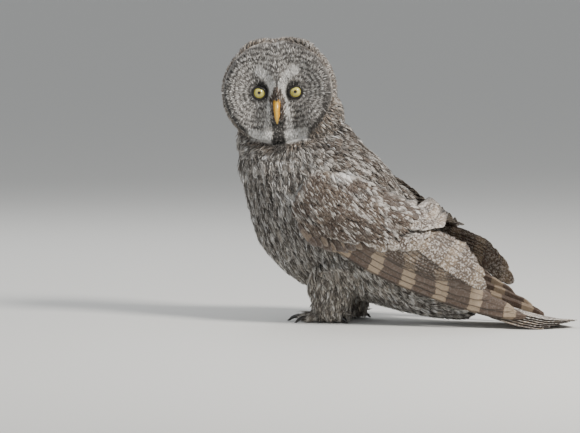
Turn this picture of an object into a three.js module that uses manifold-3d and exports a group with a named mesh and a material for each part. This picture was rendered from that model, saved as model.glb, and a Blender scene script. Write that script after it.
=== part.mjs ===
// Great grey owl, life size, standing with its back half turned and its face to the viewer.
// Millimetres, +Z up. The breast faces -Y, the tail +Y, and the bird's left side is +X.
import * as THREE from 'three';
import Module from 'manifold-3d';

const wasm = await Module();
wasm.setup();

// Driving dimensions

const nodeGap = 0.35; // clearance that touching pieces keep
const floorZ = 0;

// Each body rib runs from the breast line to the back line, with a half width across.
// [breast y, breast z, back y, back z, half width]
const bodyRibs = [
  [-140, 322, -46, 338, 22],
  [-172, 302, -4, 318, 31],
  [-171, 284, 20, 294, 40],
  [-167, 262, 40, 270, 60],
  [-166, 238, 62, 250, 77],
  [-156, 203, 84, 224, 88],
  [-145, 162, 104, 190, 91],
  [-131, 124, 122, 158, 89],
  [-106, 92, 138, 134, 84],
  [-70, 64, 152, 115, 76],
  [-18, 44, 165, 99, 66],
  [42, 32, 176, 84, 56],
  [96, 20, 189, 69, 48],
  [142, 11, 205, 55, 40],
  [186, 7, 221, 42, 31],
  [214, 9, 234, 32, 17],
];
const bodyRings = 28;
const bodySides = 24;
const bodySquareness = 2.2;

// Cuts through the body: a point on each plane and the way it faces
const headCut = { at: [0, -95, 271], facing: [0.1, -0.12, 1] };
const neckCut = { at: [0, -60, 237], facing: [0, -0.12, 1] };
const tailCut = { at: [0, 130, 62], facing: [0, 0.8, -0.6] };

// Head, in its own frame: across to its left, up, and forward through the face
const headCentre = [8, -98, 354];
const headTurn = 106; // degrees from looking along -Y towards +X
const headRoll = 2;
const headHalfWidth = 93;
const headHalfHeight = 88;
const headBack = 82; // centre plane to the nape
const headEquator = -8; // where the head is widest, forward of its centre
const discRim = 45; // forward reach of the rim of the facial disc
const discShare = 0.87; // rim radius over outline radius
const dishDepth = 13;
const crownNotch = 4;
const headSides = 32;

const eyeSpacing = 56;
const eyeRadius = 12.5;
const eyeForward = 22.3;
const eyeUp = 0;
const lidRadius = 10.8; // middle of the lid ring
const lidThickness = 1.7;
const socketLevel = 30.6; // forward reach of the face round each eye

// The bill's stations in the head's middle plane: [up, forward, half width, half depth]
const upperBill = [
  [-8, 34, 6.5, 6.5],
  [-13, 46, 6.2, 7],
  [-19, 55, 5.6, 6.6],
  [-27, 60.5, 4.8, 5.4],
  [-36, 61.5, 3.6, 3.9],
  [-43, 59.5, 2.2, 2.4],
  [-48, 56.5, 0.7, 0.8],
];
const lowerBill = [
  [-27, 36, 4.6, 4.2],
  [-31, 45, 4.4, 4],
  [-36.5, 51.5, 3.6, 3],
  [-41, 54.5, 2.2, 1.7],
  [-43, 56, 1, 0.8],
];
const nostrilRadius = 1.3;

// Legs and feet. Each leg ring: [x, y, z, half width, half length]
const legRings = [
  [50, 14, 112, 30, 38],
  [50, 8, 88, 33, 44],
  [47, 4, 62, 31, 43],
  [43, 2, 38, 27, 37],
  [40, 0, 20, 23, 31],
  [39, -1, 9, 20, 27],
  [39, -1, 5, 17, 23],
];
const ankle = [39, -6];
// Each toe: [heading in degrees from -Y to the outside, length, base radius, tip radius, claw length]
const toes = [
  ['inner', -24, 41, 8.6, 6.6, 27],
  ['middle', 3, 46, 8.8, 6.8, 28],
  ['outer', 40, 38, 8.2, 6.4, 25],
  ['hind', 158, 26, 8, 6.4, 23],
];

// Wings. The sheet follows the leading edge of the folded wing back from the wrist.
const leftWing = {
  side: 1,
  wrist: [-25, 143],
  slopes: [36, 6.5],
  length: 377,
  fanRise: 0,
};
const rightWing = {
  side: -1,
  wrist: [-24, 142],
  slopes: [40, 6],
  length: 352,
  fanRise: 10,
};
const wingHalfWidths = [
  [-60, 90],
  [0, 107],
  [60, 110],
  [120, 106],
  [180, 97],
  [250, 85],
  [320, 74],
  [380, 66],
];

const wingDepth = 20; // thickness of the folded wing at its rim
const vaneThickness = 0.6;
const vaneStep = 1.25; // from one flight feather to the one over it
const vanePitch = 60; // every feather of a group bends at the same places along the sheet
const coverTilt = 0.7; // how far a covert's edge lies under its neighbour

// Feather rows of a folded wing, on its sheet. Places are [along, across] in mm, and a row runs
// from its first place to its last through those between.
const primaries = {
  count: 7,
  roots: [[10, 6], [36, 20], [72, 32], [108, 47]],
  tips: [[376, 9], [356, 18], [318, 28], [280, 37], [242, 46]],
  halfWidths: [15, 18],
  lowest: -wingDepth + 0.8,
  webs: 1,
};
const secondaries = {
  count: 4,
  roots: [[110, 51], [130, 62], [152, 80]],
  tips: [[250, 48], [256, 56], [270, 70]],
  halfWidths: [18, 19],
  lowest: -wingDepth + 0.8 + 7 * vaneStep + 0.9,
  webs: 2,
};
const tertials = {
  count: 3,
  roots: [[152, 90], [152, 88], [150, 86]],
  tips: [[272, 80], [284, 68], [303, 47]],
  halfWidths: [15, 14],
  lowest: secondaries.lowest + 4 * vaneStep,
  webs: 2,
};
// [count, roots behind the tips, half width, height at the root, height at the tip, tips]
const covertRows = [
  [4, 50, 9.5, -4, -0.4, [[60, 4], [76, 14], [88, 24], [98, 34]]],
  [2, 46, 8.5, -4, 2, [[36, -1], [48, 8]]],
  [
    7, 46, 12.4, -4, 1.5,
    [[24, 16], [58, 29], [100, 42], [146, 55], [176, 68], [184, 81], [184, 94]],
  ],
  [6, 40, 12.4, -4, 3, [[2, 28], [32, 41], [76, 54], [118, 67], [142, 80], [148, 93]]],
  [5, 36, 12.4, -4, 4.5, [[-14, 42], [10, 55], [48, 68], [84, 81], [104, 94]]],
  [3, 32, 14, -5, 6, [[-24, 62], [2, 77], [36, 92]]],
];

// Tail, from where it leaves the body to its tip
const tailRoot = [146, 96];
const tailSlopes = [37, 3];
const tailLength = 256;
const tailPairs = 6;
const tailRootSpread = [2, 2.6]; // first pair from the middle, then each pair further out
const tailTipSpread = [5, 7.6];
const tailShortening = 7.5; // each pair than the one inside it
const tailFeatherHalfWidth = 20;
const tailStep = 1.1;
const tailStack = (2 * tailPairs - 1) * tailStep + 0.75 * vaneThickness;
const tailRoof = [5, 1]; // how far the outer feathers lie lower, at the root and added at the tip
const tailCoverts = [[62, -22], [74, -10], [80, 0], [73, 10], [62, 22]]; // [along, across] of the tips

// Colours of the pieces
const colours = {
  plumage: 0x7b7269,
  face: 0x8d8984,
  wing: 0x6d5f53,
  flight: 0x5c4d42,
  foot: 0x8a8178,
  claw: 0x1d1a19,
  eye: 0xe2d84a,
  bill: 0xd8a72c,
};

// Solids from points

function solidFrom(points, triangles) {
  const vertProperties = new Float32Array(points.flatMap((p) => [p.x, p.y, p.z]));
  const make = (order) =>
    new wasm.Manifold(
      new wasm.Mesh({ numProp: 3, vertProperties, triVerts: new Uint32Array(order.flat()) }),
    );
  const solid = make(triangles);
  return solid.volume() > 0 ? solid : make(triangles.map(([a, b, c]) => [a, c, b]));
}

// Rings of equal count joined side by side, with a point closing each end.
function loft(rings) {
  const count = rings[0].length;
  const points = rings.flat();
  const middle = (ring) =>
    ring.reduce((sum, p) => sum.add(p), new THREE.Vector3()).divideScalar(count);
  const first = points.push(middle(rings[0])) - 1;
  const last = points.push(middle(rings[rings.length - 1])) - 1;
  const triangles = [];
  const lastRing = (rings.length - 1) * count;
  for (let j = 0; j < count; j += 1) {
    const k = (j + 1) % count;
    triangles.push([first, k, j], [last, lastRing + j, lastRing + k]);
    for (let i = 0; i < rings.length - 1; i += 1) {
      const a = i * count;
      const b = a + count;
      triangles.push([a + j, a + k, b + k], [a + j, b + k, b + j]);
    }
  }
  return solidFrom(points, triangles);
}

// Two faces of like grids, split into triangles alike, and a wall round their edge.
function plate(upper, lower) {
  const rows = upper.length;
  const columns = upper[0].length;
  const points = [...upper.flat(), ...lower.flat()];
  const under = rows * columns;
  const triangles = [];
  const at = (i, j) => i * columns + j;
  for (let i = 0; i < rows - 1; i += 1) {
    for (let j = 0; j < columns - 1; j += 1) {
      const [a, b, c, d] = [at(i, j), at(i, j + 1), at(i + 1, j + 1), at(i + 1, j)];
      triangles.push([a, b, c], [a, c, d]);
      triangles.push([under + a, under + c, under + b], [under + a, under + d, under + c]);
    }
  }
  const edge = [];
  for (let j = 0; j < columns - 1; j += 1) edge.push([at(0, j), at(0, j + 1)]);
  for (let i = 0; i < rows - 1; i += 1) edge.push([at(i, columns - 1), at(i + 1, columns - 1)]);
  for (let j = columns - 1; j > 0; j -= 1) edge.push([at(rows - 1, j), at(rows - 1, j - 1)]);
  for (let i = rows - 1; i > 0; i -= 1) edge.push([at(i, 0), at(i - 1, 0)]);
  for (const [a, b] of edge) triangles.push([a, under + a, under + b], [a, under + b, b]);
  return solidFrom(points, triangles);
}

const join = (solids) => solids.reduce((whole, piece) => whole.add(piece));

// The largest closed surface of a solid, so that no scrap or sealed hollow is left.
function largest(solid) {
  return solid.decompose().reduce((a, b) => (b.volume() > a.volume() ? b : a));
}

const planeOf = ({ at, facing }) => {
  const normal = new THREE.Vector3(...facing).normalize();
  return { normal, offset: normal.dot(new THREE.Vector3(...at)) };
};
function above(solid, cut) {
  const { normal, offset } = planeOf(cut);
  return solid.trimByPlane(normal.toArray(), offset + nodeGap / 2);
}
function below(solid, cut) {
  const { normal, offset } = planeOf(cut);
  return solid.trimByPlane(normal.clone().negate().toArray(), -offset + nodeGap / 2);
}

// Smooth curve through rows of numbers, at a place from 0 to 1.
function through(rows, place) {
  const span = Math.min(place, 0.999999) * (rows.length - 1);
  const i = Math.floor(span);
  const t = span - i;
  const row = (k) => rows[Math.max(0, Math.min(rows.length - 1, k))];
  const [p, q, r, s] = [row(i - 1), row(i), row(i + 1), row(i + 2)];
  return q.map((v, k) => {
    const cubic = 3 * (v - r[k]) + s[k] - p[k];
    const square = 2 * p[k] - 5 * v + 4 * r[k] - s[k];
    return v + 0.5 * t * (r[k] - p[k] + t * (square + t * cubic));
  });
}
// Straight lines through [place, value] pairs.
function along(pairs, place) {
  const i = pairs.findIndex(([p]) => p >= place);
  if (i === 0) return pairs[0][1];
  if (i < 0) return pairs[pairs.length - 1][1];
  const [[p, v], [q, w]] = [pairs[i - 1], pairs[i]];
  return v + ((w - v) * (place - p)) / (q - p);
}
const radians = THREE.MathUtils.degToRad;
const smooth = THREE.MathUtils.smoothstep;
const bell = (distance, width) => Math.exp(-((distance / width) ** 2));

// Body

function bodySolid(grow = 0) {
  const rings = [];
  for (let i = 0; i < bodyRings; i += 1) {
    const [fy, fz, by, bz, half] = through(bodyRibs, i / (bodyRings - 1));
    const front = new THREE.Vector3(0, fy, fz);
    const back = new THREE.Vector3(0, by, bz);
    const middle = front.clone().add(back).multiplyScalar(0.5);
    const depth = front.clone().sub(middle);
    depth.setLength(depth.length() + grow);
    const ring = [];
    for (let j = 0; j < bodySides; j += 1) {
      const turn = (j / bodySides) * 2 * Math.PI;
      const power = 2 / bodySquareness;
      const c = Math.sign(Math.cos(turn)) * Math.abs(Math.cos(turn)) ** power;
      const s = Math.sign(Math.sin(turn)) * Math.abs(Math.sin(turn)) ** power;
      ring.push(middle.clone().addScaledVector(depth, c).setX((half + grow) * s));
    }
    rings.push(ring);
  }
  return loft(rings);
}

// Head

const headMatrix = new THREE.Matrix4()
  .makeTranslation(...headCentre)
  .multiply(new THREE.Matrix4().makeRotationZ(radians(headTurn)))
  .multiply(new THREE.Matrix4().makeRotationY(radians(-headRoll)));
// Across to the head's left is its own +X, and the face looks along its own -Y.
const headPoint = (across, up, forward) =>
  new THREE.Vector3(across, -forward, up).applyMatrix4(headMatrix);

function headOutline(turn) {
  const c = Math.cos(turn) / headHalfWidth;
  const s = Math.sin(turn) / headHalfHeight;
  const notch = crownNotch * bell(turn - radians(93), radians(7));
  return 1 / Math.hypot(c, s) - notch;
}

// How far forward the face reaches at a place on it.
function faceForward(across, up, share) {
  const wall = Math.max(0, share - discShare) / (1 - discShare);
  const outer = headEquator + (discRim - headEquator) * Math.sqrt(Math.max(0, 1 - wall ** 2));
  if (share > discShare) return outer;
  const inward = 1 - share / discShare;
  let forward = discRim - dishDepth * smooth(inward, 0, 0.45);
  const toEye = Math.hypot(Math.abs(across) - eyeSpacing / 2, up - eyeUp);
  const ridgeWidth = 9 + 0.006 * (up + 4) ** 2;
  const ridge = 13 * bell(across, Math.min(ridgeWidth, 26)) * smooth(up, -62, -30);
  forward += ridge * (1 - smooth(up, 36, 76));
  const brow = 4 * bell(Math.abs(across) - 15 - 0.3 * up, 8) * bell(up - 24, 18);
  forward += brow;
  const flat = 1 - smooth(toEye, 10, 21);
  return forward + (socketLevel - forward) * flat;
}

function headSolid(grow = 0) {
  const shares = [0.07, 0.16, 0.25, 0.34, 0.44, 0.55, 0.66, 0.77, 0.86, 0.91, 0.97, 1];
  const backTurns = [15, 32, 48, 63, 77, 85];
  const scale = 1 + grow / headHalfHeight;
  const ringAt = (pointAt) => {
    const ring = [];
    for (let j = 0; j < headSides; j += 1) ring.push(pointAt((j / headSides) * 2 * Math.PI));
    return ring;
  };
  const rings = shares.map((share) =>
    ringAt((turn) => {
      const reach = headOutline(turn) * share;
      const [across, up] = [reach * Math.cos(turn), reach * Math.sin(turn)];
      return headPoint(across * scale, up * scale, faceForward(across, up, share) * scale);
    }),
  );
  for (const degrees of backTurns) {
    const swing = radians(degrees);
    rings.push(
      ringAt((turn) => {
        const reach = headOutline(turn) * Math.cos(swing) * scale;
        const forward = headEquator - (headBack + headEquator) * Math.sin(swing);
        return headPoint(reach * Math.cos(turn), reach * Math.sin(turn), forward * scale);
      }),
    );
  }
  return loft(rings);
}

function ball(radius, centre, wide = 16, high = 8) {
  const rings = [];
  for (let i = 1; i < high; i += 1) {
    const fall = (i / high) * Math.PI;
    const ring = [];
    for (let j = 0; j < wide; j += 1) {
      const turn = (j / wide) * 2 * Math.PI;
      ring.push(
        headPoint(
          centre[0] + radius * Math.sin(fall) * Math.cos(turn),
          centre[1] + radius * Math.sin(fall) * Math.sin(turn),
          centre[2] + radius * Math.cos(fall),
        ),
      );
    }
    rings.push(ring);
  }
  return loft(rings);
}

// A ring of skin round the eye, closed on itself.
function lidRing(sign) {
  const around = 18;
  const sides = 6;
  const points = [];
  const triangles = [];
  for (let i = 0; i < around; i += 1) {
    const turn = (i / around) * 2 * Math.PI;
    for (let j = 0; j < sides; j += 1) {
      const swing = (j / sides) * 2 * Math.PI;
      const reach = lidRadius + lidThickness * Math.cos(swing);
      points.push(
        headPoint(
          (sign * eyeSpacing) / 2 + reach * Math.cos(turn),
          eyeUp + reach * Math.sin(turn),
          socketLevel - 0.4 + lidThickness * Math.sin(swing),
        ),
      );
      const [a, b] = [i * sides + j, i * sides + ((j + 1) % sides)];
      const [c, d] = [((i + 1) % around) * sides + ((j + 1) % sides), ((i + 1) % around) * sides + j];
      triangles.push([a, b, c], [a, c, d]);
    }
  }
  return solidFrom(points, triangles);
}

function billSolid(stations, grow = 0) {
  const count = 14;
  const rings = stations.map(([up, forward, wide, deep], i) => {
    const [u0, f0] = stations[Math.max(0, i - 1)];
    const [u1, f1] = stations[Math.min(stations.length - 1, i + 1)];
    const run = Math.hypot(u1 - u0, f1 - f0);
    const [nu, nf] = [-(f1 - f0) / run, (u1 - u0) / run];
    const ring = [];
    for (let j = 0; j < count; j += 1) {
      const turn = (j / count) * 2 * Math.PI;
      const out = (deep + grow) * Math.cos(turn);
      ring.push(headPoint((wide + grow) * Math.sin(turn), up + nu * out, forward + nf * out));
    }
    return ring;
  });
  return loft(rings);
}

// Legs and feet

function ellipseRing([x, y, z, wide, long], sides, side, grow = 0) {
  const ring = [];
  for (let j = 0; j < sides; j += 1) {
    const turn = (j / sides) * 2 * Math.PI;
    ring.push(
      new THREE.Vector3(side * (x + (wide + grow) * Math.cos(turn)), y + (long + grow) * Math.sin(turn), z),
    );
  }
  return ring;
}
function legSolid(side, grow = 0) {
  const rows = 10;
  const rings = [];
  for (let i = 0; i < rows; i += 1) {
    const row = through(legRings, i / (rows - 1));
    if (i === rows - 1) row[2] -= grow;
    rings.push(ellipseRing(row, 18, side, grow));
  }
  return loft(rings);
}

// A tapered round limb through stations of [point, radius], its rings square to its run.
function limb(stations, sides) {
  const rings = stations.map(([centre, radius], i) => {
    const before = stations[Math.max(0, i - 1)][0];
    const after = stations[Math.min(stations.length - 1, i + 1)][0];
    const run = after.clone().sub(before).normalize();
    const flat = new THREE.Vector3().crossVectors(run, new THREE.Vector3(0, 0, 1)).normalize();
    const rise = new THREE.Vector3().crossVectors(flat, run);
    const ring = [];
    for (let j = 0; j < sides; j += 1) {
      const turn = (j / sides) * 2 * Math.PI;
      ring.push(
        centre
          .clone()
          .addScaledVector(flat, radius * Math.cos(turn))
          .addScaledVector(rise, radius * Math.sin(turn)),
      );
    }
    return ring;
  });
  return loft(rings);
}
function toeHeading(side, degrees) {
  const turn = radians(degrees);
  return new THREE.Vector3(side * Math.sin(turn), -Math.cos(turn), 0);
}
function toeStations(side, [, degrees, length, base, tip], grow) {
  const start = new THREE.Vector3(side * ankle[0], ankle[1], 0);
  const heading = toeHeading(side, degrees);
  // [share of the length, share of the taper, rise of the toe's middle over its radius]
  const shape = [
    [-0.05, 0, 0.9],
    [0.25, 0.2, 0.95],
    [0.5, 0.25, 1.1],
    [0.75, 0.6, 0.95],
    [0.92, 0.9, 0.82],
    [1, 1.6, 0.72],
  ];
  return shape.map(([share, taper, rise]) => {
    const radius = base + (tip - base) * taper;
    const centre = start.clone().addScaledVector(heading, (length + grow) * share);
    return [centre.setZ(radius * rise), Math.max(radius, 2.2) + grow];
  });
}
function footSolid(side, grow = 0) {
  const pieces = toes.map((toe) => limb(toeStations(side, toe, grow), 10));
  const palm = loft(
    [
      [39, -6, 13, 8, 9],
      [39, -6, 9, 15, 16],
      [39, -6, 3, 16, 18],
      [39, -6, -2, 14, 16],
    ].map((row) => ellipseRing(row, 12, side, grow)),
  );
  return join([palm, ...pieces]).trimByPlane([0, 0, 1], floorZ - (grow ? 3 : 0));
}
function clawSolid(side, [, degrees, length, , tip, reach]) {
  const heading = toeHeading(side, degrees);
  const start = new THREE.Vector3(side * ankle[0], ankle[1], 0).addScaledVector(heading, length - 4);
  const steps = 6;
  const stations = [];
  for (let i = 0; i <= steps; i += 1) {
    const share = i / steps;
    const bend = radians(20 - 85 * share);
    const radius = 4 * (1 - share) ** 0.75 + 0.45;
    if (i > 0) {
      start.addScaledVector(heading, (reach / steps) * Math.cos(bend));
      start.z += (reach / steps) * Math.sin(bend);
    } else start.z = tip * 1.05;
    const centre = start.clone();
    centre.z = Math.max(centre.z, radius + 0.4);
    stations.push([centre, radius]);
  }
  return limb(stations, 7);
}

// Feathers lie on a sheet: a function from a place along it, a place across it and a height over it.

function arcAt([y, z], [startSlope, endSlope], length, place) {
  const s0 = radians(startSlope);
  const bend = radians(startSlope - endSlope) / length;
  const s = s0 - bend * Math.min(place, length);
  const past = Math.max(0, place - length);
  return {
    y: y + (Math.sin(s0) - Math.sin(s)) / bend + past * Math.cos(s),
    z: z - (Math.cos(s) - Math.cos(s0)) / bend - past * Math.sin(s),
    slope: s,
  };
}

function wingSheet(wing) {
  const surface = (a, e) => {
    const edge = arcAt(wing.wrist, wing.slopes, wing.length, a);
    const widest = along(wingHalfWidths, a);
    const level = 30 - 0.06 * Math.max(0, a);
    const height = 118 - 0.1 * Math.max(0, a - 60);
    const over = (e - level) / height;
    const x =
      e > level
        ? widest * Math.sqrt(Math.max(0.04, 1 - over ** 2.6))
        : widest - 0.003 * (level - e) ** 2;
    const lift = wing.fanRise * smooth(a, 120, 280) * smooth(e, 20, 80);
    return new THREE.Vector3(
      wing.side * x,
      edge.y + (e + lift) * Math.sin(edge.slope),
      edge.z + (e + lift) * Math.cos(edge.slope),
    );
  };
  return (a, e, over) => {
    const step = 0.5;
    const point = surface(a, e);
    const alongWing = surface(a + step, e).sub(surface(a - step, e));
    const across = surface(a, e + step).sub(surface(a, e - step));
    const normal = new THREE.Vector3().crossVectors(alongWing, across).normalize();
    if (normal.x * wing.side < 0) normal.negate();
    return point.addScaledVector(normal, over);
  };
}

// The tail's feathers are laid down where they reach the floor, each on the one below it.
function tailSheet(t, q, over) {
  const path = arcAt(tailRoot, tailSlopes, tailLength, t);
  const share = Math.max(0, Math.min(1, t / tailLength));
  const outer = tailTipSpread[0] + tailTipSpread[1] * (tailPairs - 1);
  const drop = (tailRoof[0] * (1 - share) + tailRoof[1]) * (q / outer) ** 2;
  return new THREE.Vector3(
    q,
    path.y + (over - drop) * Math.sin(path.slope),
    Math.max(floorZ + tailStack + over, path.z + (over - drop) * Math.cos(path.slope)),
  );
}

// A slab of a sheet between two heights, with its start and end given for each place across.
function slab(sheet, { from, to, start, end, upper, lower, rows, columns }) {
  const grid = (height) => {
    const lines = [];
    for (let i = 0; i <= rows; i += 1) {
      const line = [];
      for (let j = 0; j <= columns; j += 1) {
        const e = from + ((to - from) * j) / columns;
        const [a0, a1] = [start(e), end(e)];
        const a = a0 + ((a1 - a0) * i) / rows;
        line.push(sheet(a, e, height(a, e)));
      }
      lines.push(line);
    }
    return lines;
  };
  return plate(grid(upper), grid(lower));
}

// A feather: two webs and a shaft from a sunk root to a rounded tip, its widths as shares.
const vaneShape = [
  [0, 0.4],
  [0.3, 0.9],
  [0.62, 1],
  [0.88, 0.78],
  [1, 0.2],
];
const covertShape = [
  [0, 0.6],
  [0.33, 0.95],
  [0.8, 0.85],
  [1, 0.25],
];
// Places along a feather, as shares: where its shape has them, or at the sheet's common bends.
function stations(root, tip, shape, pitch) {
  if (!pitch) return shape.map(([share]) => share);
  const shares = [0];
  for (let a = Math.ceil((root[0] + 12) / pitch) * pitch; a < tip[0] - 0.4 * pitch; a += pitch) {
    shares.push((a - root[0]) / (tip[0] - root[0]));
  }
  return [...shares, 1 - 12 / (tip[0] - root[0]), 1];
}
function vane(sheet, feather) {
  const { root, tip, halfWidth, heights, tilt = 0, webs = 2, shape = vaneShape, pitch = 0 } = feather;
  const run = [tip[0] - root[0], tip[1] - root[1]];
  const length = Math.hypot(...run);
  const square = [-run[1] / length, run[0] / length];
  const face = (sign) =>
    stations(root, tip, shape, pitch).map((share) => {
      const wide = along(shape, share);
      const height = heights[0] + (heights[1] - heights[0]) * Math.min(1, share * 3);
      const line = [];
      for (let j = 0; j <= webs; j += 1) {
        const across = -1 + (2 * j) / webs;
        const out = across * wide * halfWidth;
        const rise = tilt * across + sign * (vaneThickness / 2) * (across ? 1 : 1.5);
        line.push(
          sheet(
            root[0] + run[0] * share + square[0] * out,
            root[1] + run[1] * share + square[1] * out,
            height + rise,
          ),
        );
      }
      return line;
    });
  return plate(face(1), face(-1));
}
function placeIn(places, share) {
  const value = (k) => along(places.map((p, i) => [i / (places.length - 1), p[k]]), share);
  return [value(0), value(1)];
}

// Flight feathers, each on a step of its own over the last.
function flightRow(sheet, { count, roots, tips, halfWidths, lowest, webs }) {
  const vanes = [];
  for (let k = 0; k < count; k += 1) {
    const share = k / (count - 1);
    const height = lowest + vaneStep * k;
    vanes.push(
      vane(sheet, {
        root: placeIn(roots, share),
        tip: placeIn(tips, share),
        halfWidth: halfWidths[0] + (halfWidths[1] - halfWidths[0]) * share,
        heights: [height, height],
        webs,
        pitch: vanePitch,
      }),
    );
  }
  return vanes;
}
// Coverts, their edges tilted one under the next like tiles.
function covertRow(sheet, [count, behind, halfWidth, low, high, tips]) {
  const vanes = [];
  for (let k = 0; k < count; k += 1) {
    const tip = placeIn(tips, k / (count - 1));
    vanes.push(
      vane(sheet, {
        root: [tip[0] - behind, tip[1] + 5],
        tip,
        halfWidth,
        heights: [low, high],
        tilt: coverTilt,
        webs: 1,
        shape: covertShape,
      }),
    );
  }
  return vanes;
}

// Wing pieces

const wingRim = [
  [-6, 8],
  [10, 26],
  [25, 58],
  [45, 104],
  [62, 142],
  [80, 158],
  [98, 158],
];
const rimAt = (e) => along(wingRim, e);
const frontAt = (e) => -22 - 34 * Math.sin(Math.PI * Math.min(1, Math.max(0, e / 98)));

function wingCore(sheet, grow = 0) {
  return slab(sheet, {
    from: -6 - grow,
    to: 98 + grow,
    start: frontAt,
    end: (e) => rimAt(e) + grow,
    upper: (a, e) => grow - 1.4 - 7 * (1 - smooth(a - frontAt(e), 0, 34)) - 4 * (1 - smooth(e, -6, 6)),
    lower: () => -wingDepth - grow,
    rows: 6,
    columns: 6,
  });
}
// The block that holds the roots of a group of flight feathers, behind the rim of the wing.
function rootBlock(sheet, from, to, upper, lower) {
  return slab(sheet, {
    from,
    to,
    start: (e) => rimAt(e) - 6,
    end: (e) => rimAt(e) + 9,
    upper: () => upper,
    lower: () => lower,
    rows: 1,
    columns: 5,
  });
}

// Build

const group = new THREE.Group();
function addPiece(name, solid, colour, roughness = 0.85) {
  const { vertProperties, triVerts, numProp, numVert } = largest(solid).getMesh();
  const position = new Float32Array(numVert * 3);
  for (let i = 0; i < numVert; i += 1) {
    position.set(vertProperties.subarray(i * numProp, i * numProp + 3), i * 3);
  }
  const geometry = new THREE.BufferGeometry();
  geometry.setAttribute('position', new THREE.BufferAttribute(position, 3));
  geometry.setIndex(new THREE.BufferAttribute(triVerts, 1));
  geometry.computeVertexNormals();
  const material = new THREE.MeshStandardMaterial({ color: colour, roughness, metalness: 0 });
  const mesh = new THREE.Mesh(geometry, material);
  mesh.name = name;
  group.add(mesh);
}

const eyeCentre = (sign) => [(sign * eyeSpacing) / 2, eyeUp, eyeForward];
const whole = bodySolid().add(headSolid());
const grownWhole = bodySolid(nodeGap).add(headSolid(nodeGap));

// Head: lids and pockets for the eyes and the bill
let head = above(whole, headCut);
for (const sign of [-1, 1]) head = head.add(lidRing(sign));
for (const sign of [-1, 1]) head = head.subtract(ball(eyeRadius + nodeGap, eyeCentre(sign)));
head = head.subtract(billSolid(upperBill, nodeGap)).subtract(billSolid(lowerBill, nodeGap));
addPiece('head', head, colours.face);

for (const [name, sign] of [['eye_left', 1], ['eye_right', -1]]) {
  addPiece(name, ball(eyeRadius, eyeCentre(sign)), colours.eye, 0.1);
}

let upper = billSolid(upperBill);
for (const sign of [-1, 1]) upper = upper.subtract(ball(nostrilRadius, [sign * 5.6, -20, 56.5], 8, 6));
addPiece('beak_upper', upper, colours.bill, 0.35);
addPiece('beak_lower', billSolid(lowerBill).subtract(billSolid(upperBill, nodeGap)), colours.bill, 0.35);

addPiece('neck', above(below(whole, headCut), neckCut), colours.plumage);
addPiece('torso', below(below(below(whole, headCut), neckCut), tailCut), colours.plumage);

// Legs, feet and claws on both sides
for (const [name, side] of [['left', 1], ['right', -1]]) {
  addPiece(`leg_${name}`, legSolid(side).subtract(grownWhole), colours.plumage);
  const foot = footSolid(side).subtract(legSolid(side, nodeGap));
  addPiece(`foot_${name}`, foot, colours.foot);
  for (const toe of toes) {
    const claw = clawSolid(side, toe).subtract(footSolid(side, nodeGap)).subtract(legSolid(side, nodeGap));
    addPiece(`claw_${name}_${toe[0]}`, claw, colours.claw, 0.35);
  }
}

// Tail: the coverts under it, its feathers with the middle pair on top, and the coverts over it
const tailVanes = [];
for (let k = 0; k < tailPairs; k += 1) {
  for (const side of [1, -1]) {
    const height = -tailStep * (2 * k + (side < 0 ? 1 : 0));
    tailVanes.push(
      vane(tailSheet, {
        root: [4, side * (tailRootSpread[0] + tailRootSpread[1] * k)],
        tip: [tailLength - tailShortening * k, side * (tailTipSpread[0] + tailTipSpread[1] * k)],
        halfWidth: tailFeatherHalfWidth - k * 0.5,
        heights: [height, height],
        pitch: vanePitch,
      }),
    );
  }
}
for (const [i, tip] of tailCoverts.entries()) {
  const height = i % 2 ? 2 : 1.4;
  tailVanes.push(
    vane(tailSheet, {
      root: [12, tip[1] * 0.6],
      tip,
      halfWidth: 12,
      heights: [height, height],
      webs: 1,
      shape: covertShape,
    }),
  );
}
const rump = above(whole, tailCut);
addPiece('tail', rump.add(above(join(tailVanes), tailCut)), colours.flight);

for (const [name, wing] of [['left', leftWing], ['right', rightWing]]) {
  const sheet = wingSheet(wing);
  const coverts = covertRows.flatMap((row) => covertRow(sheet, row));
  addPiece(`wing_${name}`, join([wingCore(sheet), ...coverts]).subtract(grownWhole), colours.wing);
  const taken = grownWhole.add(wingCore(sheet, nodeGap));
  const outerBlock = rootBlock(sheet, -4, 54, secondaries.lowest - 1.7, -wingDepth);
  const outer = join([outerBlock, ...flightRow(sheet, primaries)]);
  addPiece(`primaries_${name}`, outer.subtract(taken), colours.flight);
  const innerBlock = rootBlock(sheet, 44, 97, -2.1, secondaries.lowest - 0.5);
  const inner = [innerBlock, ...flightRow(sheet, secondaries), ...flightRow(sheet, tertials)];
  addPiece(`secondaries_${name}`, join(inner).subtract(taken), colours.flight);
}

// The frame's origin is under the middle of the whole, on the floor.
const bounds = new THREE.Box3().setFromObject(group);
const centre = bounds.getCenter(new THREE.Vector3());
group.position.set(-centre.x, -centre.y, -bounds.min.z);

export default group;
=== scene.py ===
import math

import bmesh
import bpy
import numpy as np
from mathutils import Matrix, Vector


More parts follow.
